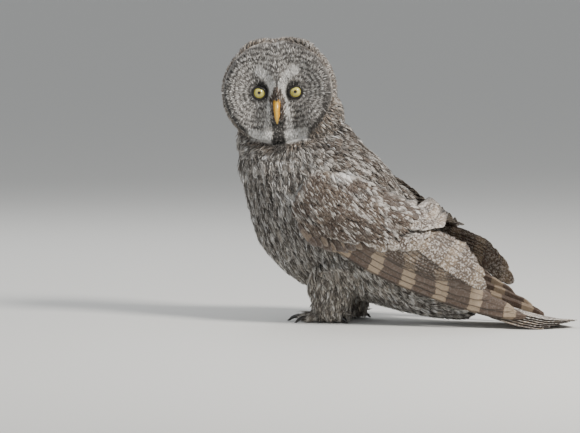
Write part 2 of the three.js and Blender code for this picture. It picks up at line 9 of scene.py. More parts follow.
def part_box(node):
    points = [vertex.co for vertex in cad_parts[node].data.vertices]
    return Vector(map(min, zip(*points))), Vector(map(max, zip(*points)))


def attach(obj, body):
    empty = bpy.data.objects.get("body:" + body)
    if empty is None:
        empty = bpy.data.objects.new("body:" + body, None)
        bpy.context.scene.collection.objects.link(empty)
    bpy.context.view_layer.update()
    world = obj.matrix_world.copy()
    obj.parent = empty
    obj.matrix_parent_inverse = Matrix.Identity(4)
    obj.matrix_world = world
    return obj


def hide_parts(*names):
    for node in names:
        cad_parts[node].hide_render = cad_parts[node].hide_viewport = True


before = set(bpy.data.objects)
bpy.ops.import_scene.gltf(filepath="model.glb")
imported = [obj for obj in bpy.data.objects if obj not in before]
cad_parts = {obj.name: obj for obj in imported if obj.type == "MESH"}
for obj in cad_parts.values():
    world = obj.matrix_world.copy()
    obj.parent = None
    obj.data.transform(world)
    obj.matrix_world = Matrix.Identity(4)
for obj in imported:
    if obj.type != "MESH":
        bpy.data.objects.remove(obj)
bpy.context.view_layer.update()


def smooth(value, low, high):  # 0 below low, 1 above high, an S curve between
    share = np.clip((np.asarray(value, float) - low) / (high - low), 0, 1)
    return share * share * (3 - 2 * share)


def bell(distance, width):  # e to the minus square of distance over width
    return np.exp(-(np.asarray(distance, float) / width) ** 2)


def unit(vectors):  # the same ways, each of length 1
    return vectors / np.maximum(np.linalg.norm(vectors, axis=-1, keepdims=True), 1e-9)


def dot(a, b):  # products of x, y and z, summed
    return (a * b).sum(-1, keepdims=True)


def throughRows(rows, place):  # smooth curve through rows of numbers, place from 0 to 1
    rows = np.asarray(rows, float)
    last = len(rows) - 1
    span = np.clip(place, 0, 0.999999) * last
    i = np.floor(span).astype(int)
    t = (span - i)[..., None]
    p, q, r, s = (rows[np.clip(i + k, 0, last)] for k in (-1, 0, 1, 2))
    return q + 0.5 * t * (r - p + t * (2 * p - 5 * q + 4 * r - s + t * (3 * (q - r) + s - p)))


def ringTurns(count):  # evenly spread angles round a ring
    return np.linspace(0, 2 * math.pi, count, endpoint=False)


def gridOf(rows, columns):  # two arrays: rows change down them, columns across them
    return np.meshgrid(rows, columns, indexing="ij")


def along(pairs, place):  # straight lines through [place, value] pairs
    pairs = np.asarray(pairs, float)
    return np.interp(place, pairs[:, 0], pairs[:, 1])


def linear(hexColour):  # an sRGB hex colour as linear red, green and blue
    value = np.array([int(hexColour[i:i + 2], 16) for i in (1, 3, 5)]) / 255
    return np.where(value <= 0.04045, value / 12.92, ((value + 0.055) / 1.055) ** 2.4)


def waves(points, pitch, seed):  # soft noise from -1 to 1: sine waves of about that pitch, summed
    draw = np.random.default_rng(seed)
    total = 0
    for _ in range(7):
        heading = unit(draw.normal(size=3)) * 2 * math.pi / (pitch * draw.uniform(0.7, 1.5))
        total = total + np.sin(points @ heading + draw.uniform(0, 6.28))
    return total / 3.2


def readArray(items, key, wide=1, kind=np.float32):  # one value of every item, as an array
    values = np.empty(len(items) * wide, kind)
    items.foreach_get(key, values)
    return values.reshape(-1, wide) if wide > 1 else values


# Colours of the bird in sRGB: grounds, then marks, then what the materials add, eyes, bill and claws.
paint = {
    "breast": "#8f8880", "back": "#675c52", "belly": "#a39c92", "crown": "#7a7269", "leg": "#b9b0a3",
    "covert": "#6c5f53", "grey": "#918d89",
    "pale": "#ebe7e1", "white": "#f6f4f0", "dark": "#201b18", "black": "#17130f", "brown": "#4c3c31",
    "buff": "#b39c86",
    "vaneDark": "#3d332b", "faceDark": "#4a443f", "mottle": "#e6e1d9", "flightBar": "#c3ad92",
    # among the marks below: painted shade along the edge of each flight vane, in the gap to the next
    "scribble": "#efeae3", "speck": "#2c211a", "shaft": "#33261e", "vaneGapShade": "#2b211a", "grain": "#3f3527",
    "iris": "#ece67c", "irisRing": "#b98f1c", "horn": "#d99a1e", "hornRidge": "#ecc255", "cere": "#8a6a2c",
    "hornTip": "#a8863a", "claw": "#1c1816", "clawRoot": "#4b443e", "floor": "#ddddda",
}
ink = {name: linear(value) for name, value in paint.items()}


def over(base, colour, share):  # lay a colour on, by its share: a name from paint, or linear numbers
    target = ink[colour] if isinstance(colour, str) else colour
    return base + (target - base) * np.clip(share, 0, 1)[..., None]


# The head has a frame of its own: across to its left, up, and forward through the face.
headSizes = {
    "centre": (8, -98, 354),
    "turn": 106,  # degrees from looking along -Y towards +X
    "roll": 2,
    "halfWidth": 93,
    "halfHeight": 88,
    "back": 82,
    "equator": -8,  # where the head is widest, forward of its middle
    "discRim": 45,
    "discShare": 0.87,  # of the head's outline
    "dish": 13,
    "notch": 4,
    "eyeSpacing": 56,
    "eyeForward": 22.3,
    "eyeRadius": 12.5,
    "socketLevel": 30.6,
}
turnAngle, rollAngle = math.radians(headSizes["turn"]), math.radians(-headSizes["roll"])
turnMatrix = np.array([[math.cos(turnAngle), -math.sin(turnAngle), 0],
                       [math.sin(turnAngle), math.cos(turnAngle), 0], [0, 0, 1]])
rollMatrix = np.array([[math.cos(rollAngle), 0, math.sin(rollAngle)], [0, 1, 0],
                       [-math.sin(rollAngle), 0, math.cos(rollAngle)]])
headTurn = turnMatrix @ rollMatrix
halfEyes = headSizes["eyeSpacing"] / 2


def headPoint(across, up, forward):  # turned by the head's turn, then moved to its centre
    local = np.stack(np.broadcast_arrays(across, -np.asarray(forward, float), up), -1)
    return local @ headTurn.T + np.array(headSizes["centre"])


def headLocal(points):  # the other way: across, up, forward of a point
    local = (points - np.array(headSizes["centre"])) @ headTurn
    return local[..., 0], local[..., 2], -local[..., 1]


def headShare(points, low=-80):  # how surely a place is on the head: near its middle, above its lower edge
    across, up, forward = headLocal(points)
    radius = np.sqrt(across ** 2 + up ** 2 + forward ** 2)
    return smooth(up, low, low + 18) * (1 - smooth(radius, 104, 118))


def headWay(across, up, forward):  # a direction in the head frame
    return np.stack(np.broadcast_arrays(across, -np.asarray(forward, float), up), -1) @ headTurn.T


def headOutline(turn):  # an ellipse with a small notch over the middle of the crown
    reach = 1 / np.hypot(np.cos(turn) / headSizes["halfWidth"], np.sin(turn) / headSizes["halfHeight"])
    return reach - headSizes["notch"] * bell(turn - math.radians(93), math.radians(7))


def faceForward(across, up, share):  # the rim's round edge, and in it the dish, ridge, brows and sockets
    s = headSizes
    wall = np.clip((share - s["discShare"]) / (1 - s["discShare"]), 0, 1)
    outer = s["equator"] + (s["discRim"] - s["equator"]) * np.sqrt(1 - wall ** 2)
    forward = s["discRim"] - s["dish"] * smooth(1 - share / s["discShare"], 0, 0.45)
    toEye = np.hypot(np.abs(across) - halfEyes, up)
    ridge = 13 * bell(across, np.minimum(9 + 0.006 * (up + 4) ** 2, 26)) * smooth(up, -62, -30)
    forward = forward + ridge * (1 - smooth(up, 36, 76))
    forward = forward + 4 * bell(np.abs(across) - 15 - 0.3 * up, 8) * bell(up - 24, 18)
    forward = forward + (s["socketLevel"] - forward) * (1 - smooth(toEye, 10, 21))
    return np.where(share > s["discShare"], outer, forward)


# Where the frame stands against these numbers, from the middle of an eye
eyeLow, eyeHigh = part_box("eye_left")
shift = np.array((eyeLow + eyeHigh) / 2) * 1000 - headPoint(halfEyes, 0.0, headSizes["eyeForward"])


def addObject(name, data):
    thing = bpy.data.objects.new(name, data)
    bpy.context.scene.collection.objects.link(thing)
    return thing


def surfaceMesh(name, points, faces, smoothShade=True):  # points in mm, faces as an array of indices
    mesh = bpy.data.meshes.new(name)
    faces = np.asarray(faces)
    mesh.vertices.add(len(points))
    mesh.vertices.foreach_set("co", ((points + shift) * 0.001).astype(np.float32).ravel())
    mesh.loops.add(faces.size)
    mesh.loops.foreach_set("vertex_index", faces.ravel().astype(np.int32))
    mesh.polygons.add(len(faces))
    mesh.polygons.foreach_set("loop_start", np.arange(0, faces.size, faces.shape[1], dtype=np.int32))
    mesh.polygons.foreach_set("use_smooth", np.full(len(faces), smoothShade))
    mesh.update(calc_edges=True)
    return addObject(name, mesh)


def setUv(piece, name, perPoint):  # a UV map from a pair of numbers at each point
    corners = readArray(piece.data.loops, "vertex_index", kind=np.int32)
    layer = piece.data.uv_layers.new(name=name)
    layer.data.foreach_set("uv", perPoint[corners].astype(np.float32).ravel())


def setColour(piece, name, perPoint):  # a colour attribute, linear, from three numbers at each point
    layer = piece.data.color_attributes.new(name=name, type="FLOAT_COLOR", domain="POINT")
    rgba = np.ones((len(perPoint), 4), np.float32)
    rgba[:, :3] = perPoint
    layer.data.foreach_set("color", rgba.ravel())


def tubeFaces(rings, around):  # quads between rings that close on themselves
    i, j = gridOf(np.arange(rings - 1), np.arange(around))
    k = (j + 1) % around
    quads = np.stack([i * around + j, i * around + k, (i + 1) * around + k, (i + 1) * around + j], -1)
    return quads.reshape(-1, 4)


def weld(piece):  # points in the same place become one, and all faces turn outwards
    mesh = bmesh.new()
    mesh.from_mesh(piece.data)
    bmesh.ops.remove_doubles(mesh, verts=mesh.verts, dist=1e-6)
    bmesh.ops.recalc_face_normals(mesh, faces=mesh.faces)
    mesh.to_mesh(piece.data)
    mesh.free()
    piece.data.polygons.foreach_set("use_smooth", np.ones(len(piece.data.polygons), bool))
    return piece


def closedTube(name, grid):  # a tube of rings, its ends drawn in to a point each
    rings, around = grid.shape[:2]
    ends = np.repeat(grid[[0, -1]].mean(1, keepdims=True), around, 1)
    grid = np.concatenate([ends[:1], grid, ends[1:]])
    return weld(surfaceMesh(name, grid.reshape(-1, 3), tubeFaces(rings + 2, around)))


def addNode(tree, kind, sockets=(), **settings):
    # One node with its settings; each socket, by place or name, is linked or set. Gives its outputs.
    node = tree.nodes.new("ShaderNode" + kind)
    for key, value in settings.items():
        setattr(node, key, value)
    for key, value in sockets.items() if isinstance(sockets, dict) else enumerate(sockets):
        if isinstance(value, bpy.types.NodeSocket):
            tree.links.new(value, node.inputs[key])
        else:
            node.inputs[key].default_value = value
    return node.outputs


def newMaterial(name, values):  # a principled shader with these values on its own sockets
    material = bpy.data.materials.new(name)
    material.use_nodes = True
    tree = material.node_tree
    shader = tree.nodes["Principled BSDF"]
    for key, value in {"Coat Roughness": 0.03, "Sheen Roughness": 0.6, "IOR": 1.5, **values}.items():
        shader.inputs[key].default_value = value
    return material, tree, shader


def coverShader(tree, shader, colour, layers, blend, height, strength, distance):
    # Each named ink goes over the colour by its share, then a bump is raised, its height in metres.
    for share, name in layers:
        colour = addNode(tree, "Mix", {0: share, 6: colour, 7: (*ink[name], 1)}, data_type="RGBA",
                         blend_type=blend)[2]
    tree.links.new(colour, shader.inputs["Base Color"])
    bump = addNode(tree, "Bump", {"Strength": strength, "Distance": distance, "Height": height})[0]
    tree.links.new(bump, shader.inputs["Normal"])


def vaneInputs(tree):
    # Colour by place; shaft streak, bars and a draw; place on the vane; way from the shaft; place in metres
    base = addNode(tree, "Attribute", attribute_name="plumage")["Color"]
    mark = addNode(tree, "Attribute", attribute_name="mark")["Color"]
    marks = addNode(tree, "SeparateColor", (mark,))
    place = addNode(tree, "SeparateXYZ", (addNode(tree, "UVMap", uv_map="vane")[0],))
    across = addNode(tree, "Math", (place[0], 0.5), operation="SUBTRACT")[0]
    across = addNode(tree, "Math", (across,), operation="ABSOLUTE")[0]
    return base, marks, place, across, addNode(tree, "TexCoord")["Object"]


def sineOf(tree, start, terms):  # sine of start plus each value times its factor
    for value, factor in terms:
        start = addNode(tree, "Math", (value, factor, start), operation="MULTIPLY_ADD")[0]
    return addNode(tree, "Math", (start,), operation="SINE")[0]


# Body feathers are loose keratin barbs with air between them. They scatter light, so the eye sees them
# matt and soft, with a little sheen where they turn away, mottled and streaked down the shaft.
def featherMaterial(name, dark):
    material, tree, shader = newMaterial(name, {"Roughness": 0.82, "Sheen Weight": 0.12})
    base, marks, place, across, spot = vaneInputs(tree)
    # mottling about 2.5 mm across: 1 m over 2.5 mm is 400
    mottle = addNode(tree, "TexNoise", {0: spot, "Scale": 400.0, "Detail": 2.0})[0]
    edge = addNode(tree, "Math", (mottle, 0.3, across), operation="MULTIPLY_ADD")[0]
    streak = addNode(tree, "MapRange", (edge, 0.42, 0.25), interpolation_type="SMOOTHSTEP")[0]
    streak = addNode(tree, "Math", (streak, marks[0]), operation="MULTIPLY")[0]
    # bars across the vane: six to a small feather, as six times 2 pi is 38, wandering with the mottling
    wave = sineOf(tree, -2.5, ((mottle, 5.0), (place[1], 38.0), (marks[2], 6.3)))
    bar = addNode(tree, "MapRange", (wave, -0.1, 0.6), interpolation_type="SMOOTHSTEP")[0]
    bar = addNode(tree, "Math", (bar, marks[1]), operation="MULTIPLY")[0]
    shade = addNode(tree, "Math", (streak, bar), operation="MAXIMUM", use_clamp=True)[0]
    shade = addNode(tree, "Math", (shade, 0.85), operation="MULTIPLY")[0]
    pale = addNode(tree, "MapRange", (mottle, 0.56, 0.7, 0.0, 0.28), interpolation_type="SMOOTHSTEP")[0]
    # barbs slanting out from the shaft: real ones are 0.3 mm apart, drawn about 0.7 mm so that they show
    barbs = sineOf(tree, 0.0, ((place[1], 150.0), (across, -60.0)))
    barbs = addNode(tree, "Math", (barbs, mottle), operation="ADD")[0]
    coverShader(tree, shader, base, [(shade, dark), (pale, "mottle")], "MIX", barbs, 0.25, 0.0004)
    return material


# Flight feathers are the same keratin with barbs hooked into a firm vane, so the eye sees a faint gloss.
# Paler squarish bars break up into fine scribbles; the vane's map runs 0 to 1 across and in 100 mm along.
def flightMaterial(name):
    material, tree, shader = newMaterial(name, {"Roughness": 0.62, "Sheen Weight": 0.05})
    base, marks, place, across, spot = vaneInputs(tree)
    # scribbles about 3 mm across, as 1 m over 3 mm is 330, and a slow wandering of 11 mm, which is 90
    fine = addNode(tree, "TexNoise", {0: spot, "Scale": 330.0, "Detail": 3.0})[0]
    broad = addNode(tree, "TexNoise", {0: spot, "Scale": 90.0, "Detail": 2.0})[0]
    wave = sineOf(tree, -0.7, ((place[1], barTurn), (marks[2], 6.3), (fine, 0.6), (broad, 0.8)))
    layers = []
    for value, low, high, most, mark, layer in (
            (wave, 0.3, 0.5, 0.7, marks[0], "flightBar"), (fine, 0.49, 0.6, 0.85, marks[1], "scribble"),
            (fine, 0.5, 0.36, 0.5, marks[1], "speck"), (across, 0.05, 0.02, 0.5, 1.0, "shaft"),
            (across, 0.4, 0.485, 0.62, 1.0, "vaneGapShade")):  # the outer millimetre is darkened, as painted shade in the gap between it and the next
        limits = (value, low, high, 0.0, most)
        share = addNode(tree, "MapRange", limits, interpolation_type="SMOOTHSTEP")[0]
        layers.append((addNode(tree, "Math", (share, mark), operation="MULTIPLY")[0], layer))
    # barbs slanting out from the shaft: real ones are 0.5 mm apart, drawn 1 mm so that they show
    barbs = sineOf(tree, 0.0, ((place[1], 628.0), (across, -110.0)))
    barbs = addNode(tree, "Math", (barbs, fine), operation="ADD")[0]
    coverShader(tree, shader, base, layers, "MIX", barbs, 0.3, 0.0004)
    return material


# Horn, bare skin and the eye are dense and smooth, so the eye sees a clear light on them: a tight one on
# the wet eye, a waxy one on bill and claws, a dull one on the lids. A fine grain darkens and raises them.
def hornMaterial(name, roughness, coat, grain, depth):
    material, tree, shader = newMaterial(name, {"Roughness": roughness, "Coat Weight": coat})
    base = addNode(tree, "Attribute", attribute_name="plumage")["Color"]
    spot = addNode(tree, "TexCoord")["Object"]
    noise = addNode(tree, "TexNoise", {0: spot, "Scale": grain, "Detail": 3.0})[0]
    share = addNode(tree, "MapRange", (noise, 0.35, 0.7, 0.0, 0.35), interpolation_type="SMOOTHSTEP")[0]
    coverShader(tree, shader, base, [(share, "grain")], "MULTIPLY", noise, 0.35, depth)
    return material


barTurn = 11.4  # bars on the flight feathers are 55 mm apart: 2 pi over 0.55 for each 100 mm
bodyFeather = featherMaterial("bodyFeatherKeratin", "vaneDark")
faceFeather = featherMaterial("faceFeatherKeratin", "faceDark")
flightFeather = flightMaterial("flightFeatherKeratin")
# roughness, coat, grain as 1 m over 1.1, 1.4, 0.7 and 0.4 mm, depth in metres
billHorn = hornMaterial("billHornKeratin", 0.33, 0.25, 900.0, 0.0002)
clawHorn = hornMaterial("clawHornKeratin", 0.28, 0.3, 700.0, 0.0002)
lidSkin = hornMaterial("eyelidSkin", 0.5, 0.15, 1500.0, 0.0002)
eyeSurface = hornMaterial("wetEyeball", 0.18, 1.0, 2600.0, 0.00003)


def finishPiece(piece, material, nodes=()):  # nodes: the parts of the plain model it stands for
    piece.data.materials.clear()
    piece.data.materials.append(material)
    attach(piece, "root")
    if nodes:
        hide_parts(*nodes)
    return piece


print("stage: helpers and materials ready")

bodySizes = {
    "ribs": [  # breast y, breast z, back y, back z, half width
        (-140, 322, -46, 338, 22), (-172, 302, -4, 318, 31), (-171, 284, 20, 294, 40),
        (-167, 262, 40, 270, 60), (-166, 238, 62, 250, 77), (-156, 203, 84, 224, 88),
        (-145, 162, 104, 190, 91), (-131, 124, 122, 158, 89), (-106, 92, 138, 134, 84),
        (-70, 64, 152, 115, 76), (-18, 44, 165, 99, 66), (42, 32, 176, 84, 56),
        (96, 20, 189, 69, 48), (142, 11, 205, 55, 40), (186, 7, 221, 42, 31), (214, 9, 234, 32, 17),
    ],
    "squareness": 2.2,  # of each ring; 2 is an ellipse
    "coat": 8,  # depth of the feathers over the skin
    "nape": {"centre": (0, -34, 314), "radii": (46, 33, 42)},
}


def bodySurface(place, turn, grow):  # a rounded ring between the breast line and the back line
    rib = throughRows(bodySizes["ribs"], place)
    zero = np.zeros_like(rib[..., 0])
    front = np.stack([zero, rib[..., 0], rib[..., 1]], -1)
    back = np.stack([zero, rib[..., 2], rib[..., 3]], -1)
    middle = (front + back) / 2
    depth = front - middle
    length = np.linalg.norm(depth, axis=-1, keepdims=True)
    depth = depth * (length + grow) / length
    power = 2 / bodySizes["squareness"]
    c = np.sign(np.cos(turn)) * np.abs(np.cos(turn)) ** power
    s = np.sign(np.sin(turn)) * np.abs(np.sin(turn)) ** power
    points = middle + depth * c[..., None]
    points[..., 0] = (rib[..., 4] + grow) * s
    return points


# Wings. The sheet follows the leading edge of the folded wing back from the wrist.

wingSizes = {
    "left": {"side": 1, "wrist": (-25, 143), "slopes": (36, 6.5), "length": 377, "fanRise": 0},
    "right": {"side": -1, "wrist": (-24, 142), "slopes": (40, 6), "length": 352, "fanRise": 10},
    "halfWidths": [(-60, 90), (0, 107), (60, 110), (120, 106), (180, 97), (250, 85), (320, 74), (380, 66)],
    "rim": [(-6, 8), (10, 26), (25, 58), (45, 104), (62, 142), (80, 158), (98, 158)],
    # the level where it is widest and its fall with a, the height above it and its fall past a place
    "level": (30, 0.06), "height": (118, 0.1, 60), "round": 2.6,
    # flesh: middle and half width across the wing, then how deep its top, edge and underside lie
    "flesh": (46, 51, -4.5, -9.0, -15.0),
    "wisps": {"count": 2600, "along": (-45, 150), "across": (10, 122), "length": 17, "halfWidth": 2.3},
    # count, half width, height of the first, step up to the next, roots, tips: places [along, across]
    "flight": {
        "primaries": [(10, 15, -19.2, 0.85,
                       [(10, 6), (12, 8), (20, 9), (36, 20), (42, 21), (72, 31), (78, 32), (98, 43),
                        (104, 45), (108, 47)],
                       [(374, 9), (372, 10), (366, 11), (352, 21), (340, 22), (318, 31), (306, 32),
                        (276, 41), (262, 43), (244, 46)])],
        "secondaries": [(8, 17, -9.5, 0.62, [(110, 51), (130, 62), (152, 80)],
                         [(250, 48), (256, 56), (270, 70)]),
                        (4, 13, -4.4, 1.2, [(152, 94), (152, 88), (150, 82)],
                         [(262, 88), (276, 76), (296, 61), (306, 46)])],
    },
    # count, root's offset from the tip, half width, height at root and tip, tips, kind; from the leading
    # edge upwards, and last the scapulars, which hang from the back over the wing's upper edge
    "coverts": [
        (8, (-56, 6), 8, -7, -1.5, [(60, 4), (76, 14), (88, 24), (98, 34)], "dark"),
        (3, (-50, 6), 7.5, -5, 1.2, [(34, -3), (42, 3), (48, 9)], "dark"),
        (14, (-52, 6), 11, -5, 1.0,
         [(24, 16), (58, 29), (100, 42), (146, 55), (176, 68), (184, 81), (184, 94)], "grey"),
        (13, (-42, 6), 10.5, -4, 2.2,
         [(2, 28), (32, 41), (76, 54), (118, 67), (142, 80), (150, 97)], "grey"),
        (12, (-34, 6), 9.5, -3.5, 3.2,
         [(-14, 37), (14, 49), (54, 62), (92, 75), (122, 90), (128, 102)], "grey"),
        (11, (-30, 6), 9, -3, 4.0, [(-22, 46), (6, 58), (40, 70), (72, 82), (98, 97), (104, 106)], "grey"),
        (10, (-27, 6), 9, -3, 4.8, [(-27, 56), (0, 69), (26, 80), (52, 91), (76, 104), (80, 111)], "grey"),
        (9, (-25, 6), 9, -3, 5.5, [(-28, 66), (-6, 79), (16, 90), (36, 99), (54, 110)], "grey"),
        (8, (-24, 6), 9, -3, 6.0, [(-24, 77), (-4, 90), (14, 100), (30, 109)], "grey"),
        (9, (-54, 9), 12, -13, 5.5, [(66, 96), (110, 92), (150, 94), (182, 100), (196, 108)], "scapular"),
        (8, (-48, 9), 12, -13, 6.2, [(58, 102), (90, 100), (124, 102), (156, 108), (172, 116)], "scapular"),
        (7, (-44, 8), 12, -13, 6.8, [(52, 107), (76, 108), (104, 111), (132, 117)], "scapular"),
    ],
    # tilt, and how far tips stray
    "kinds": {"dark": (0.55, (2.2, 1.2)), "grey": (0.55, (2.2, 1.2)), "scapular": (0.12, (2.5, 1.5))},
    # a cushion under the scapulars: from and to along the wing, its middle and reach, then middle and half
    # size across the wing and in depth
    "cushion": (-28, 140, 62, 92, 104, 34, -33, 22),
}


def arcAt(start, slopes, length, place):  # a path whose slope eases to the second, then goes straight on
    first = math.radians(slopes[0])
    bend = math.radians(slopes[0] - slopes[1]) / length
    slope = first - bend * np.minimum(place, length)
    past = np.maximum(0, place - length)
    y = start[0] + (math.sin(first) - np.sin(slope)) / bend + past * np.cos(slope)
    z = start[1] - (np.cos(slope) - math.cos(first)) / bend - past * np.sin(slope)
    return y, z, slope


def wingSheet(wing):  # the folded wing as one surface: a runs back from the wrist, e up from the front edge
    def surface(a, e):  # widest at its level, drawn in above it as the root of 1 less the rise to a power
        edgeY, edgeZ, slope = arcAt(wing["wrist"], wing["slopes"], wing["length"], a)
        widest = along(wingSizes["halfWidths"], a)
        start, fall = wingSizes["level"]
        level = start - fall * np.maximum(0, a)
        tall, narrowing, past = wingSizes["height"]
        height = tall - narrowing * np.maximum(0, a - past)
        rise = np.maximum((e - level) / height, 0)
        x = np.where(e > level, widest * np.sqrt(np.maximum(0.04, 1 - rise ** wingSizes["round"])),
                     widest - 0.003 * (level - e) ** 2)
        lift = wing["fanRise"] * smooth(a, 120, 280) * smooth(e, 20, 80)
        return np.stack([wing["side"] * x, edgeY + (e + lift) * np.sin(slope),
                         edgeZ + (e + lift) * np.cos(slope)], -1)

    def sheet(a, e, height):  # the surface, raised along its own normal
        a, e, height = np.broadcast_arrays(a, e, height)
        run = surface(a + 0.5, e) - surface(a - 0.5, e)
        wide = surface(a, e + 0.5) - surface(a, e - 0.5)
        normal = unit(np.cross(run, wide))
        normal = normal * np.where(normal[..., :1] * wing["side"] < 0, -1.0, 1.0)
        return surface(a, e) + normal * height[..., None]
    return sheet


def shoulderGrid(name):  # a cushion under the roots of the scapulars, so that back and wing run together
    low, high, middle, reach, across, halfHeight, level, halfDepth = wingSizes["cushion"]
    a = np.linspace(low, high, 40)[:, None]
    turn = ringTurns(40)[None]
    full = np.sqrt(np.maximum(0.05, 1 - ((a - middle) / reach) ** 2))
    return wingSheet(wingSizes[name])(a, across + halfHeight * full * np.cos(turn),
                                      level + halfDepth * full * np.sin(turn))


def skinGrids():  # closed forms that the skin is fused from, each inside the outline by the coat's depth
    coat = bodySizes["coat"]
    place, turn = gridOf(np.linspace(0, 1, 70), ringTurns(72))
    grids = [bodySurface(place, turn, -coat)]
    # face: ring by ring outwards, then round the back of the head; it draws in most on crown and nape
    share, turn = gridOf(np.linspace(0.03, 1, 60), ringTurns(96))
    reach = headOutline(turn) * share
    across, up = reach * np.cos(turn), reach * np.sin(turn)
    inset = 7 * smooth(share, 0.7, 0.95)
    narrow = 1 - inset / headSizes["halfHeight"]
    face = headPoint(across * narrow, up * narrow, faceForward(across, up, share) - 1.6 - inset * 0.5)
    swing, turn = gridOf(np.radians(np.linspace(6, 87, 24)), turn[0])
    reach = (headOutline(turn) - 7) * np.cos(swing)
    forward = headSizes["equator"] - 5.1 - (headSizes["back"] + headSizes["equator"] - 12) * np.sin(swing)
    nape = headPoint(reach * np.cos(turn), reach * np.sin(turn), forward)
    grids.append(np.concatenate([face, nape]))
    # nape: a rounded form that fills between the back of the head and the shoulders
    fall, turn = gridOf(np.linspace(0.05, math.pi - 0.05, 24), ringTurns(36))
    wide, deep, high = bodySizes["nape"]["radii"]
    nape = np.stack([wide * np.sin(fall) * np.cos(turn), deep * np.sin(fall) * np.sin(turn),
                     high * np.cos(fall)], -1) + np.array(bodySizes["nape"]["centre"])
    grids.append(nape)
    grids += [shoulderGrid(name) for name in ("left", "right")]
    for side in (1, -1):
        rows = throughRows(legSizes["rings"], np.linspace(0, 1, 40))
        turn = ringTurns(48)
        thin = 5 * smooth(rows[:, 2], 6, 40) + 1.5
        x = side * (rows[:, :1] + (rows[:, 3:4] - thin[:, None]) * np.cos(turn))
        y = rows[:, 1:2] + (rows[:, 4:5] - thin[:, None]) * np.sin(turn)
        grids.append(np.stack([x, y, np.broadcast_to(rows[:, 2:3], x.shape)], -1))
        for toe in legSizes["toes"]:
            centres, radii = toeRun(side, toe)
            grids.append(tubeGrid(centres, radii - 1.2, 24))
    return grids


legSizes = {
    # [x, y, z, half width, half length] down the leg
    "rings": [(50, 14, 112, 30, 38), (50, 8, 88, 33, 44), (47, 4, 62, 31, 43), (43, 2, 38, 27, 37),
              (40, 0, 20, 23, 31), (39, -1, 9, 20, 27), (39, -1, 5, 17, 23)],
    "ankle": (39, -6),
    # name, heading in degrees from -Y to the outside, length, base radius, tip radius, claw length
    "toes": [("inner", -24, 41, 8.6, 6.6, 27), ("middle", 3, 46, 8.8, 6.8, 28),
             ("outer", 40, 38, 8.2, 6.4, 25), ("hind", 158, 26, 8, 6.4, 23)],
}


def toeWay(side, toe):  # the way a toe points, level with the floor
    turn = math.radians(toe[1])
    return np.array([side * math.sin(turn), -math.cos(turn), 0.0])


def toeRun(side, toe):  # middles and radii along a toe, with a low knuckle half way
    shape = np.array([(-0.05, 0, 0.9), (0.25, 0.2, 0.95), (0.5, 0.25, 1.1), (0.75, 0.6, 0.95),
                      (0.92, 0.9, 0.82), (1, 1.6, 0.72)])
    share, taper, rise = throughRows(shape, np.linspace(0, 1, 18)).T
    radii = np.maximum(toe[3] + (toe[4] - toe[3]) * taper, 2.2)
    start = np.array([side * legSizes["ankle"][0], legSizes["ankle"][1], 0.0])
    centres = start + toeWay(side, toe) * (toe[2] * share)[:, None]
    centres[:, 2] = np.maximum(radii * rise, 1.0)
    return centres, radii


def tubeGrid(centres, radii, around):  # rings square to the run of a path, kept off the floor
    run = unit(np.gradient(centres, axis=0))
    flat = unit(np.cross(run, [0, 0, 1.0]))
    rise = np.cross(flat, run)
    turn = ringTurns(around)[None, :, None]
    ring = flat[:, None] * np.cos(turn) + rise[:, None] * np.sin(turn)
    grid = centres[:, None] + radii[:, None, None] * ring
    grid[..., 2] = np.maximum(grid[..., 2], 0.3)
    return grid


skinSizes = {"voxel": 0.0027, "relaxing": 2, "seamAngle": 70}  # metres, rounds, degrees


def makeSkin():  # the forms joined, fused by a voxel remesh, and relaxed
    parts = [closedTube("part", grid) for grid in skinGrids()]
    bpy.ops.object.select_all(action="DESELECT")
    for part in parts:
        part.select_set(True)
    bpy.context.view_layer.objects.active = parts[0]
    bpy.ops.object.join()
    skin = bpy.context.view_layer.objects.active
    skin.name = skin.data.name = "skin"
    fuse = skin.modifiers.new("fuse", "REMESH")
    fuse.mode = "VOXEL"
    fuse.voxel_size = skinSizes["voxel"]
    relax = skin.modifiers.new("relax", "SMOOTH")
    relax.iterations = skinSizes["relaxing"]
    for name in ("fuse", "relax"):
        bpy.ops.object.modifier_apply(modifier=name)
    skin.data.polygons.foreach_set("use_smooth", np.ones(len(skin.data.polygons), bool))
    bpy.ops.object.mode_set(mode="EDIT")
    bpy.ops.mesh.select_all(action="SELECT")
    bpy.ops.uv.smart_project(angle_limit=math.radians(skinSizes["seamAngle"]), island_margin=0.002)
    bpy.ops.object.mode_set(mode="OBJECT")
    skin.data.uv_layers[0].name = "OFBake"
    return skin


skin = makeSkin()
print("stage: skin", len(skin.data.polygons), "faces")


def readSkin():  # corners, normals and map of the skin's quads, as arrays in mm
    mesh = skin.data
    points = readArray(mesh.vertices, "co", 3) * 1000.0 - shift
    normals = readArray(mesh.vertices, "normal", 3)
    corners = readArray(mesh.loops, "vertex_index", kind=np.int32)
    uv = readArray(mesh.uv_layers["OFBake"].data, "uv", 2)
    starts = readArray(mesh.polygons, "loop_start", kind=np.int32)
    starts = starts[readArray(mesh.polygons, "loop_total", kind=np.int32) == 4]
    places = starts[:, None] + np.arange(4)
    return points, normals, corners[places], uv[places]


skinPoints, skinNormals, skinQuads, skinUv = readSkin()


